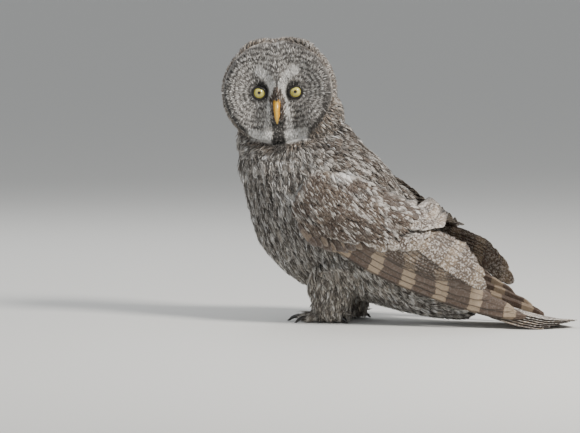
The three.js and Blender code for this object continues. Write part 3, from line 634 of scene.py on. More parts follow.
def scatter(spacing, keep, seed):
    # Roots spread over the skin: five draws to a cell by area, then one kept in each cell of that spacing.
    draw = np.random.default_rng(seed)
    corners = skinPoints[skinQuads]
    area = np.cross(corners[:, 2] - corners[:, 0], corners[:, 3] - corners[:, 1])
    area = np.linalg.norm(area, axis=1) / 2 * keep(corners.mean(1))
    mostDraws, cellsAcross = 900000, 4001
    total = int(min(5 * area.sum() / spacing ** 2, mostDraws))
    picked = np.searchsorted(np.cumsum(area) / area.sum(), draw.random(total))
    a, b = draw.random((2, total, 1))
    weights = [(1 - a) * (1 - b), a * (1 - b), a * b, (1 - a) * b]
    roots = sum(w * corners[picked, k] for k, w in enumerate(weights))
    normals = unit(sum(w * skinNormals[skinQuads[picked, k]] for k, w in enumerate(weights)))
    uv = sum(w * skinUv[picked, k] for k, w in enumerate(weights))
    cells = np.floor(roots / spacing).astype(np.int64)
    key = (cells[:, 0] * cellsAcross + cells[:, 1]) * cellsAcross + cells[:, 2]
    chosen = np.unique(key, return_index=True)[1]
    return roots[chosen], normals[chosen], uv[chosen]


def ringProfile(columns):  # a vane's ring: across over the top, then back underneath; side is 0 at the edges
    if columns == 2:  # a wisp is three-cornered, flat underneath
        return np.array([-1.0, 0.0, 1.0]), np.array([0.0, 2.0, 0.0])
    top = np.linspace(-1, 1, columns)
    under = top[-2:0:-1]
    side = np.concatenate([[0], np.ones(columns - 2), [0], -np.ones(columns - 2)])
    return np.concatenate([top, under]), side


def ringTriangles(stations, around):  # rings joined along a closed vane, with a cap at both ends
    quads = tubeFaces(stations, around)
    k = np.arange(1, around - 1)
    cap = np.stack([np.zeros_like(k), k, k + 1], -1)
    return np.concatenate([quads[:, [0, 2, 1]], quads[:, [0, 3, 2]], cap,
                           cap[:, ::-1] + (stations - 1) * around])


def manyVanes(name, points, across, share, uv, colour, marks, material, nodes=()):
    # One mesh from points shaped (vanes, stations, ring, 3), with its maps and attributes.
    full = points.shape[:3]
    vanes, stations, around = full
    faces = ringTriangles(stations, around)
    faces = (faces[None] + (np.arange(vanes) * stations * around)[:, None, None]).reshape(-1, 3)
    piece = surfaceMesh(name, points.reshape(-1, 3), faces)
    a, s = np.broadcast_to(across, full), np.broadcast_to(share, full)
    setUv(piece, "vane", np.stack([(a + 1) / 2, s], -1).reshape(-1, 2))
    if uv is None:  # a big feather has a strip of its own on the unwrap, so that its bars are kept
        first = np.arange(vanes)[:, None, None]
        bake = np.stack([(first + 0.5 + 0.46 * a) / vanes, 0.02 + 0.96 * s / s.max()], -1)
    else:  # a patch 0.003 across at the root's place on the skin's unwrap
        bake = uv[:, None, None] + 0.0015 * np.stack([a, 2 * s / s.max() - 1], -1)
    setUv(piece, "OFBake", bake.reshape(-1, 2))
    colour = colour if colour.ndim == 4 else colour[:, :, None]
    setColour(piece, "plumage", np.broadcast_to(colour, (*full, 3)).reshape(-1, 3))
    setColour(piece, "mark", np.broadcast_to(marks[:, None, None], (*full, 3)).reshape(-1, 3))
    piece.data.uv_layers["OFBake"].active = True
    return finishPiece(piece, material, nodes)


# Markings by place are the same for skin and coat.
def faceShare(points):  # how far out on the face a place is, and how surely it is on the face at all
    across, up, forward = headLocal(points)
    share = np.hypot(across, up) / headOutline(np.arctan2(up, across))
    onFace = smooth(forward, 4, 14) * (1 - smooth(share, 1.02, 1.1))
    return share, onFace, across, up, forward


def scapularPatchesAndShadow(points, colour):  # white patches on the shoulder, a painted shadow under it, and at the wing's bend
    y, z = points[..., 1], points[..., 2]
    white = bell(y - 36 - 0.5 * (226 - z), 20) * bell(z - 226, 12)
    shadow = bell(y - 72, 20) * bell(z - 203, 8)
    front = bell(y + 50, 13) * bell(z - 191, 9)
    # painted shadow: a dark smudge laid under the shoulder's white patch
    colour = over(colour, "dark", 0.85 * smooth(shadow, 0.3, 0.8))
    return over(colour, "white", 0.9 * smooth(np.maximum(white, front), 0.35, 0.8))


# The white band from brow to chin on each side of the bill, as places down the face: [up, across]
faceBand = {
    "middle": [(-64, 20), (-50, 17), (-35, 15), (-20, 12), (-10, 8), (0, 6.5), (17, 10), (30, 23), (38, 27)],
    "width": [(-64, 7), (-50, 5), (-35, 4), (-20, 5), (-10, 6), (0, 5), (17, 8), (30, 11), (36, 8), (43, 3)],
}


def backShare(points):  # 0 on breast and belly, 1 on back and shoulders
    return smooth(points[..., 1] + 0.55 * points[..., 2], 95, 150) * smooth(points[..., 2], 40, 110)


def plumage(points):
    # Colour at each place: body zones first, then the head's own layers laid over them.
    x, y, z = points[..., 0], points[..., 1], points[..., 2]
    broad = waves(points, 26, 3)
    fine = waves(points, 5.5, 4)
    colour = np.broadcast_to(ink["breast"], (*x.shape, 3)).copy()
    behind = backShare(points)
    colour = over(colour, "back", behind)
    colour = over(colour, "belly", (1 - smooth(z, 70, 150)) * (1 - behind))
    colour = over(colour, "dark", 0.35 * smooth(fine + 0.4 * broad, 0.2, 1.1))
    colour = over(colour, "pale", 0.4 * smooth(-fine + 0.3 * broad, 0.25, 1.1))
    stripes = waves(points * (1, 1, 0.2), 8.5, 5)  # long streaks down the breast and belly
    colour = over(colour, "dark", 0.86 * smooth(stripes, 0.2, 0.65) * (1 - behind))
    colour = over(colour, "white", 0.8 * smooth(-stripes, 0.15, 0.7) * (1 - behind))
    scallops = waves(points, 13, 7)
    colour = over(colour, "brown", 0.6 * smooth(scallops, 0.1, 0.8) * behind)
    colour = over(colour, "pale", 0.45 * smooth(-scallops, 0.3, 0.9) * behind)
    legs = (1 - smooth(z, 60, 100)) * (1 - smooth(y, 40, 60)) * smooth(y, -80, -50)
    colour = over(colour, "leg", 0.6 * legs)
    colour = over(colour, "brown", 0.6 * legs * smooth(waves(points, 12, 9), 0.25, 0.8))
    colour = scapularPatchesAndShadow(points, colour)
    # head
    share, onFace, across, up, forward = faceShare(points)
    head = over(np.broadcast_to(ink["crown"], colour.shape), "dark", 0.65 * smooth(fine, 0.1, 0.8))
    head = over(head, "pale", 0.6 * smooth(-fine + 0.3 * broad, 0.3, 0.9))
    rim = smooth(forward, -25, 5)
    head = over(head, "buff", 0.55 * rim * smooth(-waves(points, 4.5, 6), -0.3, 0.5))
    head = over(head, "dark", 0.6 * rim * smooth(waves(points, 5, 8), 0.25, 0.7))
    colour = over(colour, head, headShare(points))
    # facial disc: salt and pepper, with rings round each eye
    side = np.abs(across)
    toEye = np.hypot(side - halfEyes, up)
    ringWave = np.sin(2 * math.pi * toEye / 7.4 + 0.9 * waves(points, 17, 12))
    face = np.broadcast_to(ink["grey"], colour.shape)
    face = over(face, "dark", 0.78 * smooth(ringWave + 0.7 * waves(points, 4, 13), 0.1, 1.0))
    face = over(face, "pale", 0.66 * smooth(-ringWave + 0.7 * waves(points, 4, 14), 0.15, 1.0))
    face = over(face, "dark", 0.35 * bell(toEye, 24))
    middle, width = (along(faceBand[key], up) for key in ("middle", "width"))
    band = (1 - smooth(np.abs(side - middle) / width, 0.75, 1.25)) * smooth(up, -64, -52)
    band = band * (1 - smooth(up, 38, 46)) * (1 - 0.35 * smooth(up, -24, -38))
    face = over(face, "white", 0.9 * band)
    parting = bell(across, 2.4) * smooth(up, -12, 4) * (1 - 0.6 * smooth(up, 34, 60))
    face = over(face, "dark", 0.8 * parting)
    swing = np.arctan2(up, side - halfEyes)  # 0 on the outer side, pi on the inner side
    arc = smooth(swing, 0.7, 1.3) + (1 - smooth(swing, -2.4, -1.8))
    thick = 14.5 + 3.5 * bell(swing - 2.1, 0.8)
    face = over(face, "black", 0.96 * np.clip(arc, 0, 1) * (1 - smooth(toEye, thick - 2, thick + 1)))
    face = over(face, "dark", 0.9 * (1 - smooth(toEye, 11.5, 13.5)))
    bill = bell(side, 12) * bell(up + 22, 17)
    face = over(face, "brown", 0.85 * smooth(bill, 0.35, 0.75) * (1 - 0.8 * band))
    reach = 6 + 0.1 * np.abs(up + 60)
    chin = (1 - smooth(side, reach, reach + 6)) * (1 - smooth(up, -48, -38))
    face = over(face, "black", 0.92 * chin)
    tie = smooth(side, 8, 13) * (1 - smooth(side, 40, 52))
    tie = tie * (1 - smooth(np.abs(up + 71 - 0.12 * side), 7, 12))
    lower = 0.02 * smooth(across, 10, 40) * smooth(-up, 0, 35)
    outline = 1 - smooth(np.abs(share - 0.862 - 0.008 * waves(points, 12, 15)) - lower, 0.026, 0.045)
    outline = outline * (0.6 + 0.4 * smooth(-up, -20, 30)) * smooth(side, 10, 24)
    face = over(face, "dark", 0.97 * outline)
    face = over(face, "white", tie)
    edge = onFace * smooth(share, 0.88, 0.93)
    ruff = over(head, "dark", 0.25 * smooth(waves(points, 6, 16), 0.2, 0.8))
    face = over(face, ruff, edge * (1 - tie) * (1 - chin))
    colour = over(colour, face, onFace)
    # throat under the disc: the dark bib and the pale ties run on to the neck
    throat = (1 - smooth(np.abs(up + 84), 6, 14)) * smooth(forward, 0, 20)
    colour = over(colour, "black", 0.75 * throat * (1 - smooth(side, 8, 16)))
    return colour


def vaneMarks(points, draw):  # shaft streak, bars, and the feather's own draw
    forward = headLocal(points)[2]
    onHead = headShare(points)
    behind = backShare(points)
    streak = (0.95 - 0.55 * behind) * (1 - onHead) * (0.5 + 0.5 * smooth(points[..., 2], 20, 90))
    bar = 0.25 + 0.5 * behind + 0.3 * onHead * (1 - smooth(forward, 0, 14))
    return np.stack([streak * (0.55 + 0.45 * draw), bar * (0.4 + 0.6 * draw), draw], -1)


def lie(points, normals):
    # Way the feathers lie: out from each eye, back over the head, then down and back along the body.
    share, onFace, across, up, forward = faceShare(points)
    side = np.where(across >= 0, 1.0, -1.0)
    fromEye = unit(np.stack([across - side * halfEyes, up], -1))
    central = bell(across, 8)
    upward = np.where(up > -14, 1.0, -1.0)
    faceWay = headWay(fromEye[..., 0] * (1 - central) + 0.3 * side * central,
                      fromEye[..., 1] * (1 - central) + upward * central, 0.15 + 0 * up)
    back = smooth(-forward, -10, 70)
    headDown = headWay(0.0 * up, -0.35 - 1.0 * back - 0.6 * (1 - smooth(up, -40, 40)), -1.0 + 0.45 * back)
    outWay = headWay(across / 93, up / 88, -0.6 + 0 * up)
    rim = smooth(share, 0.86, 0.98)[..., None]
    faceWay = faceWay * (1 - rim) + outWay * rim
    rump = smooth(points[..., 1], 90, 185)[..., None]
    backward = smooth(points[..., 1] + 0.55 * points[..., 2], 112, 150)[..., None]
    bodyWay = np.array([0, 0.5, -0.85]) * (1 - backward) + np.array([0, 0.8, -0.6]) * backward
    bodyWay = bodyWay * (1 - rump) + np.array([0, 1, -0.12]) * rump
    legs = ((1 - smooth(points[..., 2], 55, 95)) * (1 - smooth(points[..., 1], 40, 60)))[..., None]
    bodyWay = bodyWay * (1 - legs) + np.array([0, 0.05, -1.0]) * legs
    toes = (1 - smooth(points[..., 2], 14, 20))[..., None]
    ankle = np.stack([np.sign(points[..., 0]) * legSizes["ankle"][0] + 0 * up,
                      legSizes["ankle"][1] + 0 * up, points[..., 2] + 4], -1)
    bodyWay = bodyWay * (1 - toes) + unit(points - ankle) * toes
    onHead = headShare(points, -84)[..., None]
    way = bodyWay * (1 - onHead) + headDown * onHead
    way = way * (1 - onFace[..., None]) + faceWay * onFace[..., None]
    return unit(way - dot(way, normals) * normals)


def pepperMix(colour, roots, draw, size, pale):
    # Single feathers darker or paler than their neighbours, fewer where a solid marking has to read.
    chance = draw.random((len(colour), 1))
    share, onFace, across, up = faceShare(roots)[:4]
    solid = bell(share - 0.862, 0.05) + bell(up + 74, 14) + bell(across, 11) * (up < 8)
    calm = onFace * np.clip(solid, 0, 1)
    chance = 0.45 + (chance - 0.45) * (1 - 0.95 * calm[:, None])
    return over(over(colour, "dark", size * (chance > 0.66)), pale, size * (chance < 0.24))


def growCoat(name, size, keep, seed):
    # Feathers from roots on the skin. A feather's middle is its root, plus the lie times the way along it,
    # plus the normal times its lift, less the square of the way over twice the bend.
    draw = np.random.default_rng(seed)
    roots, normals, uv = scatter(size["spacing"], keep, seed)
    count = len(roots)
    way = lie(roots, normals)
    if name == "mantleFeathers":  # these lean outwards over the upper edge of each wing
        way = way + np.array([0.45, 0, 0]) * np.sign(roots[:, :1])
        way = unit(way - dot(way, normals) * normals)
    sideways = np.cross(normals, way)
    way = unit(way + size["stray"] * draw.normal(size=(count, 1)) * sideways)
    sideways = np.cross(normals, way)
    share = np.linspace(0, 1, size["stations"])
    width = along(size["shape"], share)[None, :, None] * size["width"] / 2
    width = width * draw.uniform(0.75, 1.2, (count, 1, 1))
    length = size["length"] * draw.uniform(0.75, 1.2, (count, 1))
    lift = size["lift"] * draw.uniform(0.6, 1.15, (count, 1))
    if name == "ruffCoat":  # fuller over the two lobes of the crown and down the sides
        across, up = headLocal(roots)[:2]
        lift = lift + 4 * (bell(np.abs(across) - 42, 16) * smooth(up, 40, 70))[:, None]
    rise = -0.8 + lift * (1 - (1 - share) ** 1.7) - (length * share) ** 2 / (2 * size["bend"])
    run = length * share
    middle = roots[:, None] + way[:, None] * run[..., None] + normals[:, None] * rise[..., None]
    curl = size["curl"] * draw.normal(size=(count, 1)) * share ** 2
    middle = middle + sideways[:, None] * (curl * length)[..., None]
    across, side = ringProfile(size["columns"])
    camber = -0.35 * (across ** 2)
    thick = side * size["thickness"] / 2
    points = middle[:, :, None] + sideways[:, None, None] * (across * width)[..., None]
    points = points + normals[:, None, None] * (camber * width + thick)[..., None]
    points[..., 2] = np.maximum(points[..., 2], 0.25)
    tint = draw.normal(size=(count, 1, 1)) * size["tint"]
    onFace = name == "faceCoat"
    colour = pepperMix(plumage(middle), roots, draw, size["pepper"], "white" if onFace else "pale")
    # darker towards the root: partly the grey down at a feather's base, partly painted shade in the depth of
    # the coat
    colour = colour * np.exp(tint) * (0.5 + 0.5 * smooth(share, 0.1, 0.7))[None, :, None]
    marks = vaneMarks(roots, draw.random(count))
    piece = manyVanes(name, points, across, share[:, None], uv, np.clip(colour, 0.003, 0.9), marks,
                      faceFeather if onFace else bodyFeather)
    print("stage:", name, count, "feathers", len(piece.data.polygons), "triangles")


leaf = [(0, 0.45), (0.3, 0.95), (0.6, 1), (0.85, 0.7), (1, 0.12)]
wisp = [(0, 0.7), (0.4, 1), (0.75, 0.6), (1, 0.06)]
# In mm, stray and curl as shares, tint and pepper as how far single feathers differ from their neighbours
coatKeys = ("spacing", "width", "length", "lift", "bend", "stray", "curl", "stations", "columns",
            "thickness", "tint", "pepper", "shape")
coatSizes = {
    "faceCoat": (1.86, 2.0, 7.5, 1.7, 400, 0.2, 0.08, 4, 2, 0.25, 0.3, 0.55, wisp),
    "ruffCoat": (2.6, 3.2, 11, 5.5, 85, 0.25, 0.08, 4, 2, 0.3, 0.32, 0.6, wisp),
    "breastFeathers": (6.4, 12, 30, 7, 95, 0.18, 0.06, 6, 4, 0.4, 0.2, 0.28, leaf),
    "breastWisps": (3.85, 2.6, 21, 8, 110, 0.22, 0.08, 5, 2, 0.3, 0.4, 0.62, wisp),
    "backFeathers": (6.2, 13, 28, 7, 110, 0.15, 0.05, 6, 4, 0.4, 0.25, 0.38, leaf),
    "backWisps": (4.2, 3, 17, 7.5, 120, 0.2, 0.08, 4, 2, 0.3, 0.4, 0.66, wisp),
    "mantleFeathers": (8.5, 16, 44, 9, 130, 0.12, 0.05, 8, 5, 0.5, 0.15, 0.2, leaf),
    "legCoat": (3.0, 3.8, 17, 6.5, 90, 0.25, 0.1, 4, 2, 0.3, 0.3, 0.6, wisp),
    "toeCoat": (1.7, 1.8, 6, 1.4, 60, 0.2, 0.08, 4, 2, 0.25, 0.2, 0.3, wisp),
}


def onHeadPart(points):  # within the head's reach, above its lower edge
    across, up, forward = headLocal(points)
    radius = np.sqrt(across ** 2 + up ** 2 + forward ** 2)
    return (radius < 108) & (up > -80) & ~((up < -60) & (forward < -10))


def onFacePart(points):  # inside the ruff, clear of the eyes
    share, _, across, up, forward = faceShare(points)
    toEye = np.hypot(np.abs(across) - halfEyes, up)
    return (forward > 8) & (share < 0.9) & onHeadPart(points) & (toEye > 10.5)


def onLegPart(points):  # below the belly and beside the middle
    x, y, z = points[..., 0], points[..., 1], points[..., 2]
    return (z < 92) & (y < 62 - 0.2 * z) & (y > -75) & (np.abs(x) > 8) & (z + 0.6 * np.abs(y) < 104)


def onBodyPart(points):  # all but head and legs, and short of the tail's roots
    return ~onHeadPart(points) & ~onLegPart(points) & (points[..., 1] < 190)


def behindBody(points):  # the back's side of a slanting plane
    return points[..., 1] + 0.55 * points[..., 2] > 118


def offEye(points):  # clear of the eyeball, on the front of the head
    across, up, forward = headLocal(points)
    return np.hypot(np.abs(across) - halfEyes, up) + 50 * (forward < 0) > 11


keepers = {  # where each coat grows
    "faceCoat": onFacePart,
    "ruffCoat": lambda p: onHeadPart(p) & ~onFacePart(p) & offEye(p),
    "breastFeathers": lambda p: onBodyPart(p) & ~behindBody(p),
    "breastWisps": lambda p: onBodyPart(p) & ~behindBody(p),
    "backFeathers": lambda p: onBodyPart(p) & behindBody(p),
    "backWisps": lambda p: onBodyPart(p) & behindBody(p),
    "mantleFeathers": lambda p: ~onHeadPart(p) & behindBody(p) & (np.abs(p[..., 0]) > 44) & (p[..., 2] > 112)
    & (p[..., 2] < 236) & (p[..., 1] > -6),
    "legCoat": lambda p: onLegPart(p) & (p[..., 2] > 15),
    "toeCoat": lambda p: onLegPart(p) & (p[..., 2] <= 15) & (p[..., 2] > 1.5),
}

# The skin shows only between the feathers: at six tenths of the plumage it is darker for the grey down and
# as painted shade under the coat
shadedSkinColour = plumage(skinPoints) * 0.6
setColour(skin, "plumage", shadedSkinColour)
setColour(skin, "mark", np.zeros_like(shadedSkinColour))
skin.data.uv_layers.new(name="vane")
finishPiece(skin, bodyFeather,
            ("head", "neck", "torso", "leg_left", "leg_right", "foot_left", "foot_right"))
for order, (coatName, coatSize) in enumerate(coatSizes.items()):
    growCoat(coatName, dict(zip(coatKeys, coatSize)), keepers[coatName], 21 + order)


def nearestUv(points):  # place on the unwrap of the skin's nearest corner, for blocks of points in turn
    some = skinPoints[::7].astype(float)
    square = (some ** 2).sum(1)
    blocks = np.array_split(points, 12)
    nearest = np.concatenate([np.argmin(square - 2 * block @ some.T, 1) for block in blocks])
    firstUse = np.full(len(skinPoints), 0)
    firstUse[skinQuads.ravel()] = np.arange(skinQuads.size)
    return skinUv.reshape(-1, 2)[firstUse[nearest * 7]]


def placesAlong(places, share):  # evenly spread places on a line of [along, across] corners
    spot = np.linspace(0, 1, len(places))
    return np.stack([np.interp(share, spot, column) for column in np.transpose(places)], -1)


def featherRows(root, tip, *values):  # half width, low, high and tilt follow; a lone number counts for all
    return np.column_stack([root, tip, *(np.broadcast_to(value, len(tip)) for value in values)])


# A vane's width by the way along it, as shares
flightShape = [(0, 0.32), (0.12, 0.6), (0.35, 0.95), (0.6, 1), (0.85, 0.9), (0.94, 0.68), (0.98, 0.42),
               (1, 0.14)]
covertShape = [(0, 0.45), (0.25, 0.85), (0.6, 1), (0.8, 0.9), (0.92, 0.62), (0.98, 0.32), (1, 0.12)]


def layVanes(sheet, feathers, shape, stations, columns, draw, rise=2.4):
    # Vanes on a sheet from rows of (root along, root across, tip along, tip across, half width, low,
    # high, tilt). A vane's middle runs from root to tip with a slight bow, its width follows the shape, and
    # its height goes from low to high. The last number given back is the way along it, in 100 mm.
    across, side = ringProfile(columns)
    share = np.linspace(0, 1, stations) ** 0.9
    root, tip = feathers[:, 0:2], feathers[:, 2:4]
    run = tip - root
    length = np.linalg.norm(run, axis=1)
    square = np.stack([-run[:, 1], run[:, 0]], -1) / length[:, None]
    width = along(shape, share)[None, :, None] * feathers[:, 4][:, None, None]
    ragged = 1 + 0.05 * draw.normal(size=(len(feathers), stations, 1)) * (share > 0.5)[None, :, None]
    bow = 0.02 * length[:, None, None] * np.sin(math.pi * share)[None, :, None]
    out = across * width * ragged + bow
    a, e = (root[:, None, None, k] + run[:, None, None, k] * share[:, None] + square[:, None, None, k] * out
            for k in (0, 1))
    low, high, tilt = feathers[:, 5:8].T[:, :, None, None]
    height = low + (high - low) * np.minimum(1, share * rise)[:, None]
    shaft = 0.35 * bell(across, 0.12) * (side > 0)
    height = height + tilt * across + 0.25 * side + shaft
    return sheet(a, e, height), across, share, share[None, :, None] * length[:, None, None] / 100


def wingInk(points, kind):  # covert colours by place, with the white patches and the painted shadow under the shoulder patch
    colour = np.broadcast_to(ink["brown" if kind == "dark" else "covert"], points.shape).copy()
    if kind == "grey":
        colour = over(colour, "brown", 0.7 * smooth(waves(points, 26, 31), 0.0, 0.8))
        colour = over(colour, "pale", 0.45 * smooth(-waves(points, 20, 32), 0.25, 0.95))
    return scapularPatchesAndShadow(points, colour)


def wingFront(e):  # where the flesh begins, further forward half way up
    return -20 - 34 * np.sin(math.pi * np.clip(e / 98, 0, 1))


def wingDive(e):  # how far the upper coverts dip towards the back
    return 13 * smooth(e, 96, 130)


def makeFlight(name, sheet, draw):  # primaries and secondaries, each row fanned from roots to tips
    for group, rows in wingSizes["flight"].items():
        feathers = []
        for count, halfWidth, lowest, rise, roots, tips in rows:
            share = np.linspace(0, 1, count)
            height = lowest + rise * np.arange(count)
            tip = placesAlong(tips, share) + draw.normal(size=(count, 2)) * (2, 0.8)
            root = placesAlong(roots, share)
            feathers.append(featherRows(root, tip, halfWidth, height - 0.4, height, 0.12))
        feathers = np.concatenate(feathers)
        points, across, share, metric = layVanes(sheet, feathers, flightShape, 34, 9, draw)
        count = len(feathers)
        inner = np.linspace(0, 1, count)
        # bars stand nearly in line
        barPhase = feathers[:, 0] / 100 * barTurn / 6.3 + 0.06 * draw.normal(size=count)
        if group == "primaries":
            colour = ink["brown"] * 1.45 + 0.25 * (ink["breast"] - ink["brown"]) * inner[:, None]
            marks = np.column_stack([np.full(count, 1.0), np.full(count, 0.08), barPhase])
        else:
            colour = over(ink["brown"] * 1.5, "covert", 0.3 + 0.6 * inner)
            marks = np.column_stack([0.75 - 0.35 * inner, 0.2 + 0.35 * inner, barPhase])
        colour = colour[:, None] * (1 + 0.06 * draw.normal(size=(count, 1, 1)))
        colour = np.broadcast_to(colour, (count, len(share), 3))
        manyVanes(f"{group}_{name}_vanes", points, across, metric, None, colour, marks, flightFeather,
                  (f"{group}_{name}",))


def makeCoverts(name, sheet, draw):  # row over row, pale at the edges and brown down the middle
    feathers, kinds = [], []
    for count, offset, halfWidth, low, high, tips, kind in wingSizes["coverts"]:
        tilt, stray = wingSizes["kinds"][kind]
        tip = placesAlong(tips, np.linspace(0, 1, count)) + draw.normal(size=(count, 2)) * stray
        feathers.append(featherRows(tip + offset, tip, halfWidth, low, high, tilt))
        kinds += [kind] * count
    feathers = np.concatenate(feathers)
    dark = np.array(kinds) == "dark"
    points, across, share, metric = layVanes(lambda a, e, height: sheet(a, e, height - wingDive(e)),
                                             feathers, covertShape, 14, 7, draw, 1.6)
    colour = np.where(dark[:, None, None, None], wingInk(points, "dark"), wingInk(points, "grey"))
    edge = smooth(np.abs(across), 0.55, 0.95)[None, None] + smooth(share, 0.86, 0.97)[None, :, None]
    colour = over(colour, "pale", 0.38 * np.clip(edge, 0, 1) * np.where(dark, 0.35, 1.0)[:, None, None])
    shaft = bell(across, 0.3)[None, None] * smooth(share, 0.1, 0.5)[None, :, None]
    colour = over(colour, "brown", 0.45 * shaft)
    count = len(feathers)
    colour = colour * np.exp(0.1 * draw.normal(size=(count, 1, 1, 1)))
    marks = np.column_stack([np.full(count, 0.35), np.where(dark, 0.1, 0.62), draw.random(count)])
    manyVanes(f"coverts_{name}", points, across, metric, None, np.clip(colour, 0, 0.9), marks,
              flightFeather, (f"wing_{name}",))


def makeWingFlesh(name, sheet):  # the flesh under the coverts, one flat closed form
    across, side = ringProfile(13)
    share = np.linspace(0, 1, 24)[:, None]
    middle, half, top, edge, under = wingSizes["flesh"]
    e = middle + half * across
    a = wingFront(e) + (along(wingSizes["rim"], e) - 6 - wingFront(e)) * share
    bed = sheet(a, e, np.where(side > 0, top, np.where(side < 0, under, edge)) + 0 * a)[None]
    # the flesh at half the plumage colour: painted shade under the coverts
    manyVanes(f"wingFlesh_{name}", bed, across, share, None, plumage(bed.mean(2)) * 0.5, np.zeros((1, 3)),
              bodyFeather)


def strewWisps(name, sheet, draw):  # soft small feathers strewn over the coverts
    strewn = wingSizes["wisps"]
    count = strewn["count"]
    a, e = draw.uniform(*strewn["along"], count), draw.uniform(*strewn["across"], count)
    keep = (a < along(wingSizes["rim"], e) - 22) & (a > wingFront(e)) & (e < 94 + 0.5 * (a + 20))
    a, e = a[keep], e[keep]
    count = len(a)
    size = draw.uniform(0.7, 1.2, count)
    level = 1.5 + 5.2 * smooth(e - 0.35 * a, 0, 60) + 1.3 * smooth(e, 80, 110) - wingDive(e)
    tip = np.stack([a + strewn["length"] * size, e - 2.2 + 2 * draw.normal(size=count)], -1)
    feathers = featherRows(np.stack([a, e], -1), tip, strewn["halfWidth"] * size, level - 3.2,
                           level + 0.5 * size, 0.15 * draw.normal(size=count))
    points, across, share = layVanes(sheet, feathers, wisp, 5, 3, draw)[:3]
    colour = wingInk(points.mean(2), "grey") * np.exp(0.3 * draw.normal(size=(count, 1, 1)))
    chance = np.repeat(draw.random((count, 1)), len(share), 1)
    colour = over(over(colour, "brown", 0.7 * (chance > 0.56)), "pale", 0.6 * (chance < 0.17))
    marks = np.column_stack([0.5 * draw.random(count), 0.5 * draw.random(count), draw.random(count)])
    manyVanes(f"covertWisps_{name}", points, across, share[:, None], nearestUv(points[:, 0, 0]),
              np.clip(colour, 0, 0.9), marks, bodyFeather)


for wingName, wingSeed in (("left", 41), ("right", 42)):
    wingDraw = np.random.default_rng(wingSeed)
    wingSurface = wingSheet(wingSizes[wingName])
    makeFlight(wingName, wingSurface, wingDraw)
    makeCoverts(wingName, wingSurface, wingDraw)
    makeWingFlesh(wingName, wingSurface)
    strewWisps(wingName, wingSurface, wingDraw)
    print("stage: wing", wingName)

# Tail: twelve feathers laid down where they reach the floor, coverts over their roots

tailSizes = {
    "root": (146, 96), "slopes": (37, 3), "length": 256, "pairs": 6, "rootSpread": (2, 2.6),
    "tipSpread": (5, 7.6), "shortening": 7.5, "halfWidth": 20, "step": 1.1, "roof": (5, 1),
    # count, half width, low, high, tips [along, across]
    "coverts": [(9, 11, 0.5, 2.2, [(64, -27), (92, -14), (108, 0), (92, 14), (64, 27)]),
                (9, 10, 1.5, 4.0, [(44, -27), (68, -13), (82, 0), (68, 13), (44, 27)]),
                (7, 10, 2.5, 6.0, [(26, -24), (46, -12), (56, 0), (46, 12), (26, 24)])],
}


def tailSheet(t, q, height):  # arched across near the root, and never under the level the feet stand on
    size = tailSizes
    y, z, slope = arcAt(size["root"], size["slopes"], size["length"], t)
    share = np.clip(t / size["length"], 0, 1)
    outer = size["tipSpread"][0] + size["tipSpread"][1] * (size["pairs"] - 1)
    drop = (size["roof"][0] * (1 - share) + size["roof"][1]) * (q / outer) ** 2
    stack = (2 * size["pairs"] - 1) * size["step"] + 0.45
    return np.stack([q + 0 * y, y + (height - drop) * np.sin(slope),
                     np.maximum(stack + height, z + (height - drop) * np.cos(slope))], -1)


def makeTail():  # pairs from the middle out, each under the last, then three rows of coverts
    size = tailSizes
    draw = np.random.default_rng(51)
    feathers = []
    for k in range(size["pairs"]):
        for side in (1, -1):
            height = -size["step"] * (2 * k + (side < 0))
            feathers.append((4, side * (size["rootSpread"][0] + size["rootSpread"][1] * k),
                             size["length"] - size["shortening"] * k + draw.normal() - 1,
                             side * (size["tipSpread"][0] + size["tipSpread"][1] * k),
                             size["halfWidth"] - 0.5 * k, height, height, 0))
    feathers = np.array(feathers, float)
    points, across, share, metric = layVanes(tailSheet, feathers, flightShape, 36, 9, draw)
    points[..., 2] = np.maximum(points[..., 2], 0.1)
    count = len(feathers)
    middle = 1 - np.arange(count) / count
    colour = over(ink["brown"] * 1.3, "breast", 0.2 + 0.35 * middle)
    colour = np.broadcast_to(colour[:, None], (count, len(share), 3))
    marks = np.column_stack([0.75 - 0.35 * middle, 0.35 + 0.6 * middle, 0.13 * np.arange(count)])
    manyVanes("tail_vanes", points, across, metric, None, colour, marks, flightFeather,
              ("tail",))
    feathers = []
    for count, halfWidth, low, high, tips in size["coverts"]:
        tip = placesAlong(tips, np.linspace(0, 1, count))
        feathers.append(featherRows(tip * (1, 0.6) - (52, 0), tip, halfWidth, low - 3, high, 0.3))
    feathers = np.concatenate(feathers)
    points, across, share, metric = layVanes(tailSheet, feathers, covertShape, 12, 7, draw)
    colour = over(plumage(points), "pale", 0.3 * smooth(np.abs(across), 0.6, 0.95))
    marks = np.column_stack([np.full((len(feathers), 2), (0.5, 0.9)), draw.random(len(feathers))])
    manyVanes("tailCoverts", points, across, metric, None, colour, marks, flightFeather)
    print("stage: tail")


makeTail()

eyeSizes = {"pupil": 2.5, "iris": 8.3, "ring": 9.0, "lidReach": 10.3, "lidThickness": 1.9, "lidDrop": 2.7}


def pieceLocal(piece):  # the piece's points, back in mm
    return readArray(piece.data.vertices, "co", 3) * 1000.0 - shift


